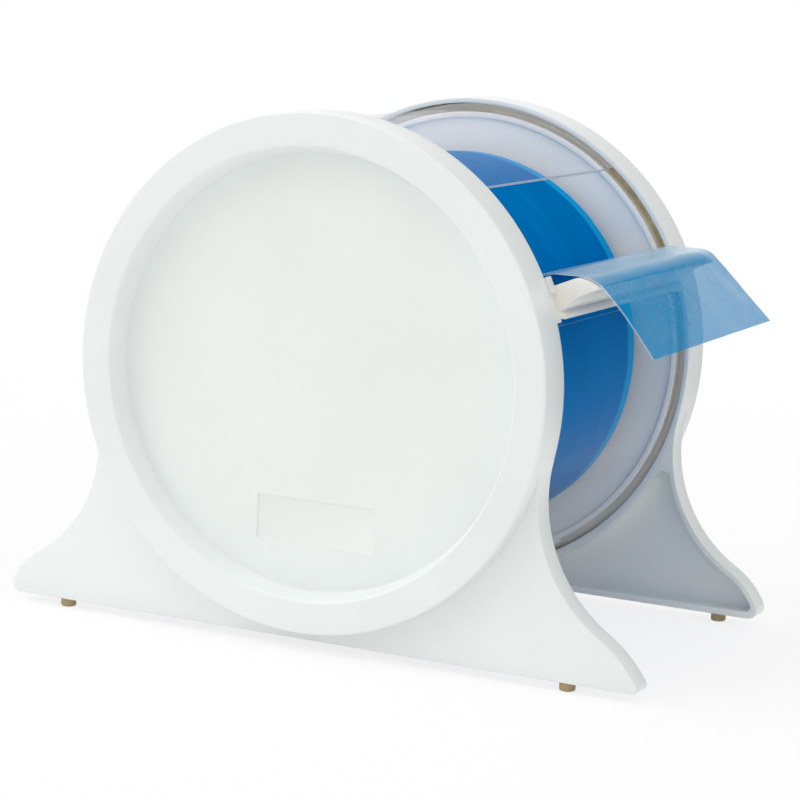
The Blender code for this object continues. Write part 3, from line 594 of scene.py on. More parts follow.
def add_node(tree, kind, sockets=None, links=None, **settings):
    """Add a node with its settings, its socket values and the outputs linked into it."""
    node = tree.nodes.new(kind)
    for name, value in settings.items():
        setattr(node, name, value)
    for name, value in (sockets or {}).items():
        node.inputs[name].default_value = value
    for name, output in (links or {}).items():
        tree.links.new(output, node.inputs[name])
    return node


def new_material(name, **sockets):
    """Make a material and return it with its tree and its shader."""
    material = bpy.data.materials.new(name)
    material.use_nodes = True
    tree = material.node_tree
    shader = tree.nodes["Principled BSDF"]
    for socket, value in sockets.items():
        shader.inputs[socket.replace("_", " ")].default_value = value
    return material, tree, shader


def object_place(tree, scale=(1, 1, 1)):
    """Return an output with object coordinates about the roll's axis, stretched by a scale."""
    place = add_node(tree, "ShaderNodeTexCoord")
    return add_node(
        tree, "ShaderNodeMapping",
        {"Location": [-AXIS_HEIGHT * scale[2] if i == 2 else 0 for i in range(3)],
         "Scale": scale},
        {"Vector": place.outputs["Object"]}).outputs["Vector"]


def blotches(tree, place, scale, detail=2.0, roughness=0.5, distortion=0.0):
    """Return an output of soft noise at a scale given in spots per metre."""
    return add_node(
        tree, "ShaderNodeTexNoise",
        {"Scale": scale, "Detail": detail, "Roughness": roughness, "Distortion": distortion},
        {"Vector": place}).outputs["Fac"]


def mix_colours(tree, share, first, second):
    """Return an output that goes from the first colour to the second."""
    node = add_node(tree, "ShaderNodeMix", data_type="RGBA")
    for socket, value in ((0, share), (6, first), (7, second)):
        if isinstance(value, bpy.types.NodeSocket):
            tree.links.new(value, node.inputs[socket])
        else:
            node.inputs[socket].default_value = (*value, 1) if socket else value
    return node.outputs[2]


def remap(tree, value, low, high, new_low, new_high):
    """Return an output whose range is moved to a new one."""
    return add_node(
        tree, "ShaderNodeMapRange",
        {"From Min": low, "From Max": high, "To Min": new_low, "To Max": new_high},
        {"Value": value}).outputs["Result"]


def mottle(tree, share, first, second, low=0.3, high=0.7):
    """Return an output that mixes two colours by the middle range of a noise."""
    return mix_colours(tree, remap(tree, share, low, high, 0, 1), first, second)


def add_up(tree, first, second):
    """Return the sum of two outputs, one at most."""
    node = add_node(
        tree, "ShaderNodeMath", links={0: first, 1: second}, operation="ADD", use_clamp=True)
    return node.outputs["Value"]


def scaled(tint, share):
    """Return a colour made darker or paler by a share, one at most."""
    return tuple(min(value * share, 1) for value in tint)


def feed(tree, shader, **outputs):
    """Link outputs into the shader's sockets of those names."""
    for socket, output in outputs.items():
        tree.links.new(output, shader.inputs[socket.replace("_", " ")])


def roughen(tree, shader, height, distance):
    """Drive the shader's normal by a bump whose full height is given in metres."""
    bump = add_node(tree, "ShaderNodeBump", {"Distance": distance}, {"Height": height})
    feed(tree, shader, Normal=bump.outputs["Normal"])


def moulded_plastic(name, tint, grain_size, grain_height, roughness, spread=0.02):
    """Make an injection-moulded plastic with a fine grain and faint tone changes."""
    material, tree, shader = new_material(name, IOR=1.50)
    place = object_place(tree)
    tone = blotches(tree, place, 22.0, 3.0)
    feed(
        tree, shader,
        Base_Color=mottle(tree, tone, scaled(tint, 1 - spread), scaled(tint, 1 + spread)),
        Roughness=remap(tree, tone, 0.3, 0.7, roughness - 0.03, roughness + 0.03))
    roughen(tree, shader, blotches(tree, place, 1 / grain_size), grain_height)
    return material


def ring_material(finish):
    """ABS from a polished mould: a cool white that shines softly on its rounded rim."""
    return moulded_plastic("polished_abs", finish.ring, 0.0025, 0.00002, 0.34)


def dish_material(finish):
    """ABS from a finely etched mould: a matt face that stays even under the lamps."""
    return moulded_plastic("etched_abs", finish.dish, 0.0012, 0.00003, 0.52)


def disc_material(finish):
    """High-impact polystyrene: a satin white that looks bluish behind the clear covers."""
    return moulded_plastic("satin_polystyrene", finish.disc, 0.0020, 0.00002, 0.42)


def bar_material(finish):
    """Glossy ABS: a warm white bar that mirrors the lamps in one soft band."""
    return moulded_plastic("glossy_abs", finish.bar, 0.0030, 0.00001, 0.28)


def groove_material(finish):
    """ABS in the covers' grooves, coloured a patchy olive brown."""
    material, tree, shader = new_material("olive_brown_groove_abs", Roughness=0.7, IOR=1.50)
    place = object_place(tree)
    patch = blotches(tree, place, 120.0, 4.0, 0.65)
    dark = scaled(finish.groove, 0.62)
    feed(tree, shader, Base_Color=mottle(tree, patch, dark, finish.groove, 0.35, 0.65))
    roughen(tree, shader, patch, 0.00010)
    return material


def cover_material(finish):
    """Polished clear polystyrene sheet: a faint lavender haze that thickens where the sheet is
    seen edge-on, partly as a painted reflection of the white surroundings, and a sharp reflection.
    """
    material, tree, shader = new_material("clear_polystyrene", IOR=1.59, Roughness=0.10)
    place = object_place(tree)
    waves = blotches(tree, object_place(tree, (0.35, 1, 1)), 38.0, 2.0)
    haze = blotches(tree, place, 60.0, 3.0)
    # Haze that grows where the sheet is seen edge-on: partly real haze, partly a painted
    # reflection of the white floor and sky.
    slope = add_node(tree, "ShaderNodeLayerWeight", {"Blend": 0.5})
    slant = remap(tree, slope.outputs["Facing"], 0.57, 0.87, 0, 1)
    haze_and_reflection_veil = add_node(tree, "ShaderNodeMath", {1: 1.6}, {0: slant}, operation="POWER")
    ray = add_node(tree, "ShaderNodeLightPath")
    lit = add_up(tree, ray.outputs["Is Shadow Ray"], ray.outputs["Is Diffuse Ray"])
    kept = remap(tree, lit, 0, 1, 1.0, 0.10)
    clouded = add_node(
        tree, "ShaderNodeMath",
        links={0: remap(tree, haze_and_reflection_veil.outputs["Value"], 0, 1, 0.004, 0.22), 1: kept},
        operation="MULTIPLY")
    feed(
        tree, shader, Alpha=clouded.outputs["Value"],
        Base_Color=mix_colours(tree, haze, scaled(finish.cover, 0.94), finish.cover))
    roughen(tree, shader, waves, 0.00005)
    return material


def cover_edge_material(finish):
    """Sawn polystyrene edge: frosted, so the end of the clear sheet reads as a grey line."""
    material, tree, shader = new_material("sawn_polystyrene_edge", IOR=1.59, Roughness=0.55)
    marks = blotches(tree, object_place(tree, (1, 0.1, 0.1)), 900.0, 3.0)
    dark = scaled(finish.cover_edge, 0.86)
    feed(tree, shader, Base_Color=mottle(tree, marks, dark, finish.cover_edge, 0.35, 0.65))
    roughen(tree, shader, marks, 0.00005)
    return material


def film_material(finish):
    """Tacky polyethylene film wound tight: deep blue with fine wrinkles round the roll."""
    material, tree, shader = new_material(
        "wound_polyethylene_film", IOR=1.51, Specular_IOR_Level=0.0)
    fine = blotches(tree, object_place(tree, (1, 0.05, 0.05)), 900.0, 3.0, 0.6, 0.6)
    broad = blotches(tree, object_place(tree, (1, 0.2, 0.2)), 110.0, 2.0, 0.5, 0.3)
    pale = (finish.film[0], finish.film[1] + 0.12, min(finish.film[2] + 0.22, 1))
    base = mottle(tree, broad, scaled(finish.film, 0.84), finish.film)
    streaked = mix_colours(tree, remap(tree, fine, 0.64, 0.86, 0, 0.45), base, pale)
    place = add_node(tree, "ShaderNodeTexCoord")
    across = add_node(
        tree, "ShaderNodeSeparateXYZ", links={"Vector": place.outputs["Object"]}).outputs["X"]
    reach = add_node(tree, "ShaderNodeMath", links={0: across}, operation="ABSOLUTE")
    inner, outer = (FILM_END - width for width in ROLL_BAND)
    band = remap(tree, reach.outputs["Value"], inner, outer, 0, 0.9)
    feed(
        tree, shader, Base_Color=mix_colours(tree, band, streaked, finish.film_band),
        Roughness=remap(tree, fine, 0.3, 0.7, 0.34, 0.24))
    roughen(tree, shader, fine, 0.00012)
    return material


def film_end_material(finish):
    """Side of wound film: hundreds of turns show as fine rings of lighter blue."""
    material, tree, shader = new_material("film_turns_on_edge", IOR=1.51, Roughness=0.45)
    place = add_node(tree, "ShaderNodeTexCoord")
    centred = add_node(
        tree, "ShaderNodeVectorMath", {1: (0, 0, AXIS_HEIGHT)},
        {0: place.outputs["Object"]}, operation="SUBTRACT")
    flat = add_node(
        tree, "ShaderNodeVectorMath", {1: (0, 1, 1)},
        {0: centred.outputs["Vector"]}, operation="MULTIPLY")
    radius = add_node(
        tree, "ShaderNodeVectorMath", links={0: flat.outputs["Vector"]}, operation="LENGTH")
    rings = add_node(
        tree, "ShaderNodeTexNoise", {"W": 0.0, "Scale": 1800.0, "Detail": 2.0},
        {"W": radius.outputs["Value"]}, noise_dimensions="1D")
    feed(
        tree, shader,
        Base_Color=mottle(tree, rings.outputs["Fac"], finish.film, finish.film_band))
    roughen(tree, shader, rings.outputs["Fac"], 0.0001)
    return material


def tail_material(finish):
    """One sheet of tinted polyethylene: see-through blue with a real gloss on its folds, a painted
    pale sheen where it is seen edge-on and a painted glint along its left edge.
    """
    material, tree, shader = new_material(
        "tinted_polyethylene_sheet", IOR=1.51, Roughness=0.16, Specular_IOR_Level=0.04)
    place = object_place(tree)
    cloud = blotches(tree, place, 70.0, 3.0, 0.6)
    crease = blotches(tree, object_place(tree, (0.3, 1, 1)), 120.0, 2.0)
    across = add_node(tree, "ShaderNodeSeparateXYZ", links={"Vector": place}).outputs["X"]
    # Painted glint: a narrow strip along the left edge turns near white, as light catching the
    # curled edge.
    outer, inner = (width - FILM_END for width in TAIL_GLINT_WIDTHS)
    rim = remap(tree, across, outer, inner, 1, 0)
    body = mottle(tree, cloud, finish.tail, scaled(finish.tail, 0.92), 0.35, 0.7)
    # Painted sheen: the blue turns pale where the sheet is seen edge-on.
    slope = add_node(tree, "ShaderNodeLayerWeight", {"Blend": 0.5})
    sheen = remap(tree, slope.outputs["Facing"], 0.66, 0.84, 0, 0.62)
    body = mix_colours(tree, sheen, body, TAIL_SHEEN_COLOUR)
    feed(
        tree, shader, Base_Color=mix_colours(tree, rim, body, TAIL_GLINT_COLOUR),
        Alpha=remap(tree, cloud, 0.3, 0.7, 0.56, 0.48))
    roughen(tree, shader, crease, 0.00005)
    return material


def card_material(finish):
    """Spiral-wound grey board: dull, with faint fibres and winding seams."""
    material, tree, shader = new_material("wound_grey_board", Roughness=0.85)
    fibre = blotches(tree, object_place(tree, (1, 0.15, 0.15)), 700.0, 4.0, 0.7)
    dark = scaled(finish.core, 0.78)
    feed(tree, shader, Base_Color=mix_colours(tree, fibre, dark, finish.core))
    roughen(tree, shader, fibre, 0.00010)
    return material


def hub_material(finish):
    """Grey moulded polypropylene: waxy and a little uneven."""
    return moulded_plastic("grey_polypropylene", finish.hub, 0.0018, 0.00003, 0.50, 0.05)


def bush_material(finish):
    """Acetal: a dense cream plastic with a slippery, low shine."""
    return moulded_plastic("cream_acetal", finish.bush, 0.0015, 0.00002, 0.38, 0.03)


def steel_material(name, finish, roughness):
    """Bright steel with turning marks round its axis."""
    material, tree, shader = new_material(name, Metallic=1.0)
    marks = blotches(tree, object_place(tree, (1, 0.04, 0.04)), 1500.0, 2.0)
    feed(
        tree, shader,
        Base_Color=mix_colours(tree, marks, scaled(finish.steel, 0.85), finish.steel),
        Roughness=remap(tree, marks, 0.3, 0.7, roughness - 0.06, roughness + 0.06))
    roughen(tree, shader, marks, 0.00002)
    return material


def rubber_material(finish):
    """Moulded tan rubber: soft and matt, darker where dust has stuck to it."""
    material, tree, shader = new_material("tan_rubber", Roughness=0.80, IOR=1.52)
    dust = blotches(tree, object_place(tree), 600.0, 3.0, 0.6)
    dark = scaled(finish.foot, 0.72)
    feed(tree, shader, Base_Color=mix_colours(tree, dust, dark, finish.foot))
    roughen(tree, shader, dust, 0.00015)
    return material


# Pieces


def screw_places():
    """Return (Y, height above the axis) of the disc's screws, the first one on top."""
    return [on_circle((0, 0), SCREW_CIRCLE, math.pi / 2 + i * math.tau / 3) for i in range(3)]


def foot_places():
    """Return each foot's name, side (-1 is left) and Y, read from the frame."""
    places = []
    for name in ("left_front_foot", "left_rear_foot", "right_front_foot", "right_rear_foot"):
        low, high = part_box(name)
        places.append((name, -1 if low.x < 0 else 1, (low + high) / 2))
    return places


def ring_profile(shape):
    """Return the section of the dished ring, as (X, radius) on the left side."""
    channel_face = RING_FACE - SHELL_WALL
    channel_inner = RING_FACE_INNER + SHELL_WALL
    floor = (-RECESS_FACE, RECESS_RADIUS - DISH_FLOOR_RUN)
    toe = (-RECESS_FACE, RECESS_RADIUS)
    shoulder = (-RING_FACE, RING_FACE_INNER + DISH_SLOPE)
    edge = (-RING_FACE, RING_RADIUS)
    outer_lip = (-LIP_PLANE, RING_RADIUS)
    inner_lip = (-LIP_PLANE, GROOVE_RADIUS)
    profile = [floor]
    profile += corner(floor, toe, shoulder, shape.dish_fillet)
    profile += corner(toe, shoulder, edge, shape.dish_round)
    profile.append((-RING_FACE, RING_FACE_INNER + RIM_SETBACK))
    profile.append((-RING_FACE, RING_RADIUS - RIM_SETBACK))
    profile += corner(shoulder, edge, outer_lip, shape.rim_round)
    profile.append((-RING_FACE + RIM_SETBACK, RING_RADIUS))
    profile += corner(edge, outer_lip, inner_lip, LIP_ROUND, 2)
    profile += corner(outer_lip, inner_lip, (-channel_face, GROOVE_RADIUS), LIP_ROUND, 2)
    profile += [
        (-channel_face, GROOVE_RADIUS), (-channel_face, channel_inner),
        (-RECESS_BACK, channel_inner),
    ]
    return profile


def build_leg_plate(shape):
    """Build the plate with both legs, its edges rounded and its pockets cut."""
    front = facing(-1, leg_outline(LONG_LEG))
    rear = facing(1, leg_outline(SHORT_LEG))
    weld_radius = (RING_RADIUS + GROOVE_RADIUS) / 2
    underside = arc(
        (0, 0), weld_radius, heading((0, 0), rear[0]), heading((0, 0), front[0]), 90)
    plate = section("leg_plate", front + rear[::-1] + underside[1:-1], -LEG_FACE, -LIP_PLANE)
    bevel_edges(
        plate,
        lambda co: co.x < -LEG_FACE + WELD and distance_from_axis(co) > weld_radius + WELD,
        shape.leg_round)
    pocket_back = -(LEG_FACE - LEG_FACE_WALL)
    for name, side, leg in (("front_pocket", -1, LONG_LEG), ("rear_pocket", 1, SHORT_LEG)):
        outline = facing(side, pocket_outline(leg))
        pocket = section(name, outline, pocket_back, -(LIP_PLANE - OVERRUN))
        bevel_edges(pocket, lambda co: co.x < pocket_back + WELD, shape.pocket_fillet)
        combine(plate, pocket, "DIFFERENCE")
    bevel_edges(
        plate,
        lambda co: co.x > -LIP_PLANE - WELD and distance_from_axis(co) > RING_RADIUS + WELD,
        shape.leg_rim_round)
    return plate


def build_side_panels(shape, finish):
    """Build the left panel, turn a copy to the right and drill each one's foot holes."""
    panel = turned("side_panel_left", ring_profile(shape))
    combine(panel, build_leg_plate(shape), "UNION")
    for across, height in screw_places():
        boss = pin("boss", BOSS_RADIUS, -RECESS_BACK - OVERRUN, -DISC_FACE, across, height)
        combine(panel, boss, "UNION")
        depth = -RECESS_BACK - SCREW_HOLE_DEPTH
        hole = pin("hole", SCREW_HOLE_RADIUS, depth, -DISC_FACE + OVERRUN, across, height)
        combine(panel, hole, "DIFFERENCE")
    front = -LABEL_FORWARD - LABEL_WIDTH / 2
    rear = -LABEL_FORWARD + LABEL_WIDTH / 2
    low = -LABEL_DROP - LABEL_HEIGHT / 2
    high = -LABEL_DROP + LABEL_HEIGHT / 2
    outline = [(front, low), (rear, low), (rear, high), (front, high)]
    field = section("label_field", outline, -RECESS_FACE - OVERRUN, -RECESS_FACE + LABEL_SINK)
    bevel_edges(field, lambda co: co.x > -RECESS_FACE + LABEL_SINK - WELD, LABEL_EDGE_ROUND, 2)
    combine(panel, field, "DIFFERENCE")

    ring = ring_material(finish)
    dish = dish_material(finish)
    groove = groove_material(finish)
    add_slot(panel)
    copy = turn_round(panel, "side_panel_right")
    for piece, side, node in ((panel, -1, "left_panel"), (copy, 1, "right_panel")):
        for name, foot_side, place in foot_places():
            if foot_side == side:
                clear_selection()
                bpy.ops.mesh.primitive_cylinder_add(
                    vertices=24, radius=FOOT_STEM_RADIUS + GAP,
                    depth=2 * (FOOT_STEM_LENGTH + GAP),
                    location=(place.x, place.y, AXIS_HEIGHT + LEG_BOTTOM))
                apply_place()
                combine(piece, bpy.context.object, "DIFFERENCE")
        paint_faces(
            piece, dish,
            lambda centre, normal: abs(centre.x) > RECESS_FACE - LABEL_SINK - WELD
            and abs(centre.x) < RECESS_FACE + WELD and distance_from_axis(centre) < RECESS_RADIUS)
        paint_faces(
            piece, groove,
            lambda centre, normal: LIP_PLANE < abs(centre.x) < RING_FACE - SHELL_WALL + WELD
            and RING_FACE_INNER < distance_from_axis(centre) < GROOVE_RADIUS + PAINT_MARGIN)
        finish_piece(piece, ring, "dispenser", "panel", node)


def build_inner_discs(finish):
    """Build the walls beside the roll, each with its lip, cradle, screw holes and stop lug."""
    lip = DISC_RADIUS - DISC_LIP_WALL
    flange_back = GROOVE_FLOOR + DISC_FLANGE_WALL
    profile = [
        (-DISC_BACK, lip), (-flange_back, lip), (-flange_back, LOWER_COVER_OUTER),
        (-GROOVE_FLOOR, LOWER_COVER_OUTER), (-GROOVE_FLOOR, DISC_RADIUS)]
    profile += corner(
        (-GROOVE_FLOOR, DISC_RADIUS), (-LIP_PLANE, DISC_RADIUS), (-LIP_PLANE, lip), DISC_ROUND, 3)
    profile += corner(
        (-LIP_PLANE, DISC_RADIUS), (-LIP_PLANE, lip), (-DISC_FACE, lip), DISC_ROUND, 3)
    profile += corner((-LIP_PLANE, lip), (-DISC_FACE, lip), (-DISC_FACE, 0), 2 * DISC_ROUND, 4)
    profile.append((-DISC_FACE, lip - DISC_FLOOR_RUN))
    disc = turned("inner_disc_left", profile)
    half = CRADLE_BORE + CRADLE_WALL
    outline = [
        (-half, CRADLE_TOP), (-half, CRADLE_WALL - CRADLE_FOOT),
        (CRADLE_WALL - half, -CRADLE_FOOT), (half - CRADLE_WALL, -CRADLE_FOOT),
        (half, CRADLE_WALL - CRADLE_FOOT), (half, CRADLE_TOP), (CRADLE_BORE, CRADLE_TOP)]
    outline += arc((0, 0), CRADLE_BORE, 0, -math.pi) + [(-CRADLE_BORE, CRADLE_TOP)]
    cradle = section("cradle", outline, -DISC_FACE - DISC_WALL / 2, -CRADLE_FACE)
    bevel_edges(cradle, lambda co: co.x > -CRADLE_FACE - WELD, CRADLE_ROUND, 2)
    combine(disc, cradle, "UNION")
    for across, height in screw_places():
        hole = pin(
            "hole", BOSS_RADIUS + GAP, -DISC_BACK - OVERRUN, -DISC_FACE + OVERRUN, across, height)
        combine(disc, hole, "DIFFERENCE")
    copy = turn_round(disc, "inner_disc_right")
    main = disc_material(finish)
    groove = groove_material(finish)

    def in_open_groove(centre, normal):
        angle = math.atan2(centre.z - AXIS_HEIGHT, -centre.y)
        return (
            distance_from_axis(centre) > DISC_RADIUS - PAINT_MARGIN and abs(normal.x) > 0.9
            and abs(centre.x) < GROOVE_FLOOR + WELD
            and LOWER_COVER_ENDS[1] < angle < UPPER_COVER_ENDS[0])

    for piece, side, node in ((disc, -1, "left_inner_disc"), (copy, 1, "right_inner_disc")):
        inner = DISC_RADIUS - DISC_LIP_WALL / 2
        outline = front_arc(UPPER_COVER_OUTER, *STOP_LUG_ENDS, 4)
        outline += front_arc(inner, *STOP_LUG_ENDS[::-1], 4)
        low, high = sorted((side * LIP_PLANE, side * (GROOVE_FLOOR + DISC_FLANGE_WALL / 2)))
        combine(piece, section("stop_lug", outline, low, high), "UNION")
        add_slot(piece)
        paint_faces(piece, groove, in_open_groove)
        finish_piece(piece, main, "dispenser", "disc", node)


def build_covers(finish):
    """Build the fixed lower cover and the sliding upper one, with their frosted ends."""
    def at_an_end(centre, normal):
        outwards = Vector((0, centre.y, centre.z - AXIS_HEIGHT)).normalized()
        return abs(normal.x) > 0.5 or abs(normal.dot(outwards)) < 0.5

    clear = cover_material(finish)
    frosted = cover_edge_material(finish)
    parts = (
        ("clear_cover_lower", "lower_cover", "dispenser", LOWER_COVER_INNER, LOWER_COVER_ENDS),
        ("clear_cover_upper", "upper_cover", "cover", UPPER_COVER_INNER, UPPER_COVER_ENDS),
    )
    for name, node, body, inner, ends in parts:
        steps = round((ends[1] - ends[0]) / math.tau * ROUND_STEPS)
        outline = front_arc(inner + COVER_WALL, *ends, steps)
        outline += front_arc(inner, *ends[::-1], steps)
        piece = section(name, outline, -COVER_END, COVER_END)
        add_slot(piece)
        paint_faces(piece, frosted, at_an_end)
        finish_piece(piece, clear, body, "cover", node)


def build_dispensing_bar(finish):
    """Build the bar with its rounded nose, curved hollow, bottom lip, ears and tongues."""
    nose = (-BAR_NOSE, BAR_NOSE_HEIGHT)
    under_nose = (-(BAR_NOSE - BAR_NOSE_EDGE), BAR_NOSE_HEIGHT - BAR_NOSE_EDGE)
    neck = (-BAR_NECK, BAR_NECK_HEIGHT)
    hollow = (
        neck[0] + (under_nose[0] - neck[0]) * BAR_HOLLOW_FORWARD_SHARE,
        neck[1] + (under_nose[1] - neck[1]) * BAR_HOLLOW_HEIGHT_SHARE)
    brow = (-(BAR_CREST + BAR_NOSE) / 2, BAR_TOP)
    rear_top = (-BAR_REAR, BAR_TOP - BAR_REAR_DROP)
    outline = [(-BAR_REAR, BAR_BASE)]
    outline += corner((-BAR_REAR, BAR_BASE), rear_top, (-BAR_CREST, BAR_TOP), BAR_REAR_ROUND)
    outline += bend((-BAR_CREST, BAR_TOP), brow, nose, BAR_BEND_STEPS)
    outline += bend(under_nose, hollow, neck, BAR_BEND_STEPS)
    outline += [(-BAR_LIP, BAR_BASE + BAR_LIP_WALL), (-BAR_LIP, BAR_BASE)]
    bar = section("film_bar", outline, -BAR_END, BAR_END)
    bevel_edges(bar, lambda co: abs(co.x) > BAR_END - WELD, BAR_END_ROUND, 2)
    proud_radii = (EAR_RADII[1] - OVERRUN, EAR_PROUD_RADIUS)
    tongue_radii = (UPPER_COVER_INNER, LOWER_COVER_OUTER)
    tongue_ends = (EAR_ANGLES[0] + TONGUE_INSET, EAR_ANGLES[1] - TONGUE_INSET)
    for side in (-1, 1):
        shapes = (
            (EAR_RADII, BAR_END - OVERRUN, EAR_END, EAR_ANGLES),
            (proud_radii, BAR_END, EAR_END, EAR_PROUD_ANGLES),
            (tongue_radii, EAR_END - OVERRUN, COVER_END, tongue_ends),
        )
        for (inner, outer), near, far, ends in shapes:
            outline = front_arc(outer, *ends, 6) + front_arc(inner, *ends[::-1], 6)
            low, high = sorted((side * near, side * far))
            combine(bar, section("ear", outline, low, high), "UNION")
    finish_piece(bar, bar_material(finish), "dispenser", "bar", "dispensing_bar")


def build_film_roll(finish):
    """Build the wound roll, its two ends slightly rounded where the film steps in."""
    bore = CORE_RADIUS + GAP
    profile = [(-FILM_END, bore)]
    profile += corner((-FILM_END, bore), (-FILM_END, ROLL_RADIUS), (0, ROLL_RADIUS), ROLL_ROUND)
    shoulder = FILM_END - ROLL_END_RUN
    profile += [(-shoulder, ROLL_RADIUS), (shoulder, ROLL_RADIUS)]
    profile += corner((0, ROLL_RADIUS), (FILM_END, ROLL_RADIUS), (FILM_END, bore), ROLL_ROUND)
    profile += [(FILM_END, bore), (-FILM_END, bore)]
    roll = turned("wound_film", profile)
    add_slot(roll)
    paint_faces(
        roll, film_end_material(finish), lambda centre, normal: abs(normal.x) > 0.9)
    finish_piece(roll, film_material(finish), "roll", "film", "film_roll")


def film_path(edge):
    """Return one edge of the film tail as evenly spaced (reach, height) points."""
    start = on_circle((0, 0), ROLL_RADIUS + FILM_LIFT, FILM_PEEL_ANGLE)
    brow, bend_corner, nose, hang_corner, end = [
        (BAR_CREST + past, BAR_TOP + above) for past, above in edge]
    points = [start, (BAR_REAR, brow[1])] + bend(brow, bend_corner, nose, FILM_BEND_STEPS)
    points += bend(nose, hang_corner, end, FILM_BEND_STEPS)[1:]
    points = [Vector(point) for point in points]
    spans = [(b - a).length for a, b in zip(points, points[1:])]
    whole = sum(spans)
    even = []
    index = 0
    passed = 0.0
    for row in range(FILM_ROWS + 1):
        goal = whole * row / FILM_ROWS
        while index < len(spans) - 1 and passed + spans[index] < goal:
            passed += spans[index]
            index += 1
        even.append(points[index].lerp(points[index + 1], (goal - passed) / spans[index]))
    return even, whole


def build_film_tail(shape, finish):
    """Build the loose end: ruled between its two edges, then wrinkled and curled."""
    left, left_length = film_path(FILM_LEFT_EDGE)
    right, right_length = film_path(FILM_RIGHT_EDGE)
    clear_selection()
    bpy.ops.mesh.primitive_grid_add(
        x_subdivisions=FILM_COLUMNS, y_subdivisions=FILM_ROWS, size=2, location=(0, 0, 0))
    film = bpy.context.object
    name_piece(film, "loose_film")
    for vert in film.data.vertices:
        share = (vert.co.x + 1) / 2
        row = round((vert.co.y + 1) / 2 * FILM_ROWS)
        here = left[row].lerp(right[row], share)
        near = left[max(row - 1, 0)].lerp(right[max(row - 1, 0)], share)
        far = left[min(row + 1, FILM_ROWS)].lerp(right[min(row + 1, FILM_ROWS)], share)
        along = (far - near).normalized()
        outwards = Vector((-along.y, along.x))
        loose = min(max((row / FILM_ROWS - WRINKLE_START_SHARE) / WRINKLE_FADE_SHARE, 0), 1)
        spot = Vector(
            (share * WRINKLE_FOLDS[0], row / FILM_ROWS * WRINKLE_FOLDS[1], WRINKLE_SEED))
        folds = noise.noise(spot) + 0.35 * noise.noise(spot * 3.1)
        lift = shape.film_wrinkle * folds * loose
        edge = max(1 - share / CURL_SHARE, 0)
        lift += shape.film_curl * edge**CURL_POWER * loose
        place = here + outwards * lift
        vert.co = (FILM_END * (2 * share - 1), -place.x, AXIS_HEIGHT + place.y)
    apply_modifier(film, "SOLIDIFY", thickness=shape.film_wall, offset=0)
    finish_piece(film, tail_material(finish), "dispenser", "tail", "film_tail")


def build_feet(finish):
    """Build one push-in foot, copy it to the other places and colour them tan."""
    rubber = rubber_material(finish)
    top = AXIS_HEIGHT + LEG_BOTTOM - GAP
    profile = [(0, 0), (0, FOOT_RADIUS - FOOT_FLAT_INSET)]
    profile += corner((0, 0), (0, FOOT_RADIUS), (top, FOOT_RADIUS), FOOT_ROUND)
    profile += corner((0, FOOT_RADIUS), (top, FOOT_RADIUS), (top, 0), FOOT_TOP_ROUND, 3)
    profile += [(top, FOOT_STEM_RADIUS), (top + GAP + FOOT_STEM_LENGTH, FOOT_STEM_RADIUS)]
    profile.append((top + GAP + FOOT_STEM_LENGTH, 0))
    model = draw_line("foot", [(radius, 0, height) for height, radius in profile])
    bpy.ops.mesh.spin(steps=32, angle=math.tau, center=(0, 0, 0), axis=(0, 0, 1))
    close_up()
    for name, _, place in foot_places():
        choose(model)
        bpy.ops.object.duplicate(linked=False)
        foot = bpy.context.object
        name_piece(foot, f"rubber_{name}")
        foot.location = (place.x, place.y, 0)
        apply_place()
        finish_piece(foot, rubber, "dispenser", "foot", name)
    choose(model)
    bpy.ops.object.delete()


def dress_hidden_parts(finish):
    """Give the core, hubs, collars, spindle, bushes and screws their materials."""
    materials = {
        "roll_core": card_material(finish),
        "core_hub": hub_material(finish),
        "bush": bush_material(finish),
        "spindle": steel_material("ground_steel", finish, 0.28),
        "disc_screw": steel_material("plated_steel", finish, 0.36),
    }
    for name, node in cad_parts.items():
        for part, material in materials.items():
            if part in name:
                for holder in node.material_slots:
                    holder.material = material


# Stage


def floor_material(finish, light):
    """Seamless paper: white to the camera, and grey only where the object shades it."""
    material, tree, shader = new_material(
        "seamless_paper", Roughness=0.9, IOR=1.3, Specular_IOR_Level=0.0)
    place = add_node(tree, "ShaderNodeTexCoord").outputs["Object"]
    fibre = blotches(tree, place, 400.0, 3.0)
    pale = scaled(finish.floor, 1.02)
    feed(tree, shader, Base_Color=mix_colours(tree, fibre, finish.floor, pale))
    glow = add_node(tree, "ShaderNodeEmission", {"Color": (1, 1, 1, 1)})
    reach = add_node(
        tree, "ShaderNodeVectorMath", links={0: place}, operation="LENGTH").outputs["Value"]
    fade = remap(tree, reach, *FLOOR_FADE, light.floor_glow, 1.0)
    ray = add_node(tree, "ShaderNodeLightPath")
    loss = remap(tree, reach, *FLOOR_MIRROR_FADE, 0, -0.95)
    mirrored = add_node(
        tree, "ShaderNodeMath", {2: 1.0}, {0: ray.outputs["Is Glossy Ray"], 1: loss},
        operation="MULTIPLY_ADD")
    tree.links.new(mirrored.outputs["Value"], glow.inputs["Strength"])
    seen = add_up(tree, ray.outputs["Is Camera Ray"], ray.outputs["Is Transmission Ray"])
    share = add_node(
        tree, "ShaderNodeMath",
        links={0: fade, 1: seen, 2: ray.outputs["Is Glossy Ray"]},
        operation="MULTIPLY_ADD", use_clamp=True)
    mix = add_node(
        tree, "ShaderNodeMixShader",
        links={0: share.outputs["Value"], 1: shader.outputs["BSDF"], 2: glow.outputs["Emission"]})
    tree.links.new(mix.outputs["Shader"], tree.nodes["Material Output"].inputs["Surface"])
    return material


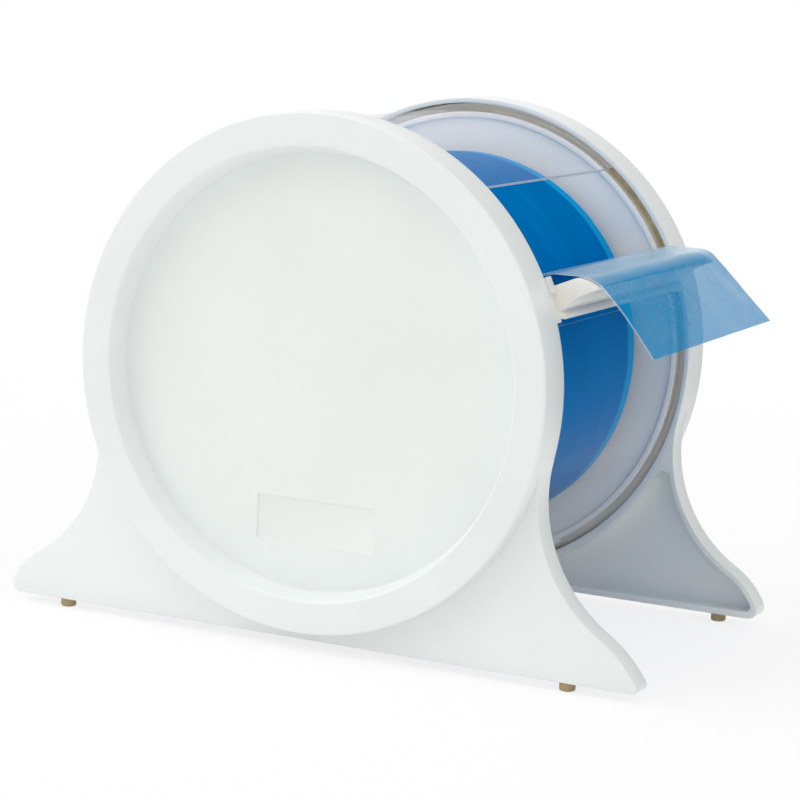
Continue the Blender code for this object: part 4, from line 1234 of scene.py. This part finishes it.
def build_world(light):
    """Light the scene by a soft sky that the camera sees as plain white."""
    world = bpy.data.worlds.new("studio_sky")
    bpy.context.scene.world = world
    world.use_nodes = True
    world.cycles.sampling_method = "NONE"
    tree = world.node_tree
    sky = tree.nodes["Background"]
    sky.inputs["Color"].default_value = (1.0, 1.0, 0.985, 1)
    sky.inputs["Strength"].default_value = light.sky
    white = add_node(tree, "ShaderNodeBackground", {"Color": (1, 1, 1, 1)})
    ray = add_node(tree, "ShaderNodeLightPath")
    seen = add_up(tree, ray.outputs["Is Camera Ray"], ray.outputs["Is Transmission Ray"])
    heading_out = add_node(tree, "ShaderNodeTexCoord").outputs["Generated"]
    depth = add_node(
        tree, "ShaderNodeSeparateXYZ", links={"Vector": heading_out}).outputs["Y"]
    mirrored = add_node(
        tree, "ShaderNodeMath",
        links={0: remap(tree, depth, -0.15, 0.30, 0.06, 1.0), 1: ray.outputs["Is Glossy Ray"]},
        operation="MULTIPLY")
    dim = add_node(
        tree, "ShaderNodeBackground", {"Color": (1, 1, 1, 1)},
        {"Strength": mirrored.outputs["Value"]})
    around = add_node(
        tree, "ShaderNodeMixShader",
        links={0: ray.outputs["Is Glossy Ray"], 1: sky.outputs["Background"],
               2: dim.outputs["Background"]})
    mix = add_node(
        tree, "ShaderNodeMixShader",
        links={0: seen, 1: around.outputs["Shader"],
               2: white.outputs["Background"]})
    tree.links.new(mix.outputs["Shader"], tree.nodes["World Output"].inputs["Surface"])


def add_softbox(name, place, aim_height, size, power):
    """Hang a square lamp and turn it to a point above the floor's middle."""
    clear_selection()
    bpy.ops.object.light_add(type="AREA", location=place)
    lamp = bpy.context.object
    name_piece(lamp, name)
    lamp.data.shape = "SQUARE"
    lamp.data.size = size
    lamp.data.energy = power
    aim = Vector((0, 0, aim_height)) - Vector(place)
    lamp.rotation_euler = aim.to_track_quat("-Z", "Y").to_euler()


def add_camera():
    """Stand the camera where the photograph was taken from."""
    back = Vector((
        math.sin(CAMERA_AZIMUTH) * math.cos(CAMERA_ELEVATION),
        -math.cos(CAMERA_AZIMUTH) * math.cos(CAMERA_ELEVATION),
        math.sin(CAMERA_ELEVATION)))
    sideways = Vector((math.cos(CAMERA_AZIMUTH), math.sin(CAMERA_AZIMUTH), 0))
    upright = back.cross(sideways)
    across = math.cos(CAMERA_ROLL) * sideways + math.sin(CAMERA_ROLL) * upright
    rise = -math.sin(CAMERA_ROLL) * sideways + math.cos(CAMERA_ROLL) * upright
    turn = Matrix((across, rise, back)).transposed()
    clear_selection()
    place = CAMERA_AIM + CAMERA_DISTANCE * back
    bpy.ops.object.camera_add(location=place, rotation=turn.to_euler())
    camera = bpy.context.object
    camera.name = "photograph_camera"
    camera.data.sensor_width = SENSOR_WIDTH
    camera.data.lens = CAMERA_LENS
    camera.data.shift_x, camera.data.shift_y = CAMERA_SHIFT
    bpy.context.scene.camera = camera


def build_stage(finish, light):
    """Lay the floor, hang the lamps, light the sky and stand the camera."""
    clear_selection()
    bpy.ops.mesh.primitive_circle_add(
        vertices=64, radius=FLOOR_RADIUS, fill_type="NGON", location=(0, 0, 0))
    floor = bpy.context.object
    floor.name = "paper_floor"
    add_slot(floor)
    floor.material_slots[0].material = floor_material(finish, light)
    build_world(light)
    add_softbox("top_softbox", *TOP_LAMP, light.top)
    add_softbox("rear_softbox", *REAR_LAMP, light.rear)
    add_softbox("front_softbox", *FRONT_LAMP, light.front)
    add_camera()
    bpy.context.scene.view_settings.view_transform = "Standard"


class DISPENSER_OT_side_panels(bpy.types.Operator):
    """Build both dished side panels with their legs."""

    bl_idname = "dispenser.side_panels"
    bl_label = "Build Side Panels"

    def execute(self, context):
        build_side_panels(context.scene.dispenser_shape, context.scene.dispenser_finish)
        return {"FINISHED"}


class DISPENSER_OT_inner_discs(bpy.types.Operator):
    """Build the walls beside the roll."""

    bl_idname = "dispenser.inner_discs"
    bl_label = "Build Inner Discs"

    def execute(self, context):
        build_inner_discs(context.scene.dispenser_finish)
        return {"FINISHED"}


class DISPENSER_OT_covers(bpy.types.Operator):
    """Build the two clear covers."""

    bl_idname = "dispenser.covers"
    bl_label = "Build Covers"

    def execute(self, context):
        build_covers(context.scene.dispenser_finish)
        return {"FINISHED"}


class DISPENSER_OT_dispensing_bar(bpy.types.Operator):
    """Build the bar that the film lies over."""

    bl_idname = "dispenser.dispensing_bar"
    bl_label = "Build Dispensing Bar"

    def execute(self, context):
        build_dispensing_bar(context.scene.dispenser_finish)
        return {"FINISHED"}


class DISPENSER_OT_film_roll(bpy.types.Operator):
    """Build the wound film."""

    bl_idname = "dispenser.film_roll"
    bl_label = "Build Film Roll"

    def execute(self, context):
        build_film_roll(context.scene.dispenser_finish)
        return {"FINISHED"}


class DISPENSER_OT_film_tail(bpy.types.Operator):
    """Build the loose end of the film."""

    bl_idname = "dispenser.film_tail"
    bl_label = "Build Film Tail"

    def execute(self, context):
        build_film_tail(context.scene.dispenser_shape, context.scene.dispenser_finish)
        return {"FINISHED"}


class DISPENSER_OT_feet(bpy.types.Operator):
    """Build the four rubber feet."""

    bl_idname = "dispenser.feet"
    bl_label = "Build Feet"

    def execute(self, context):
        build_feet(context.scene.dispenser_finish)
        return {"FINISHED"}


class DISPENSER_OT_hidden_parts(bpy.types.Operator):
    """Dress the parts of the frame that stay: core, hubs, collars, spindle, bushes, screws."""

    bl_idname = "dispenser.hidden_parts"
    bl_label = "Dress Hidden Parts"

    def execute(self, context):
        dress_hidden_parts(context.scene.dispenser_finish)
        return {"FINISHED"}


class DISPENSER_OT_stage(bpy.types.Operator):
    """Set up the floor, the light and the camera."""

    bl_idname = "dispenser.stage"
    bl_label = "Set Up Stage"

    def execute(self, context):
        build_stage(context.scene.dispenser_finish, context.scene.dispenser_light)
        return {"FINISHED"}


OPERATORS = (
    DISPENSER_OT_side_panels,
    DISPENSER_OT_inner_discs,
    DISPENSER_OT_covers,
    DISPENSER_OT_dispensing_bar,
    DISPENSER_OT_film_roll,
    DISPENSER_OT_film_tail,
    DISPENSER_OT_feet,
    DISPENSER_OT_hidden_parts,
    DISPENSER_OT_stage,
)


class DISPENSER_PT_sidebar(bpy.types.Panel):
    """List the dispenser's sizes, colours and building steps."""

    bl_idname = "DISPENSER_PT_sidebar"
    bl_label = "Barrier Film Dispenser"
    bl_space_type = "VIEW_3D"
    bl_region_type = "UI"
    bl_category = "Dispenser"

    def draw(self, context):
        for group in (
            context.scene.dispenser_shape, context.scene.dispenser_finish,
            context.scene.dispenser_light,
        ):
            box = self.layout.box()
            for name in group.__annotations__:
                box.prop(group, name)
        for operator in OPERATORS:
            self.layout.operator(operator.bl_idname)


GROUPS = (
    ("dispenser_shape", DispenserShape),
    ("dispenser_finish", DispenserFinish),
    ("dispenser_light", DispenserLight),
)


def register():
    """Register the classes and hang the property groups on the scene."""
    for name, group in GROUPS:
        bpy.utils.register_class(group)
        setattr(bpy.types.Scene, name, PointerProperty(type=group))
    for item in (*OPERATORS, DISPENSER_PT_sidebar):
        bpy.utils.register_class(item)


def unregister():
    """Take away what register added."""
    for item in reversed((*OPERATORS, DISPENSER_PT_sidebar)):
        bpy.utils.unregister_class(item)
    for name, group in reversed(GROUPS):
        delattr(bpy.types.Scene, name)
        bpy.utils.unregister_class(group)


def main():
    """Register the add-on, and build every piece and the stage."""
    register()
    bpy.ops.dispenser.side_panels()
    bpy.ops.dispenser.inner_discs()
    bpy.ops.dispenser.covers()
    bpy.ops.dispenser.dispensing_bar()
    bpy.ops.dispenser.film_roll()
    bpy.ops.dispenser.film_tail()
    bpy.ops.dispenser.feet()
    bpy.ops.dispenser.hidden_parts()
    bpy.ops.dispenser.stage()
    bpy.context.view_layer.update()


if __name__ == "__main__":
    main()
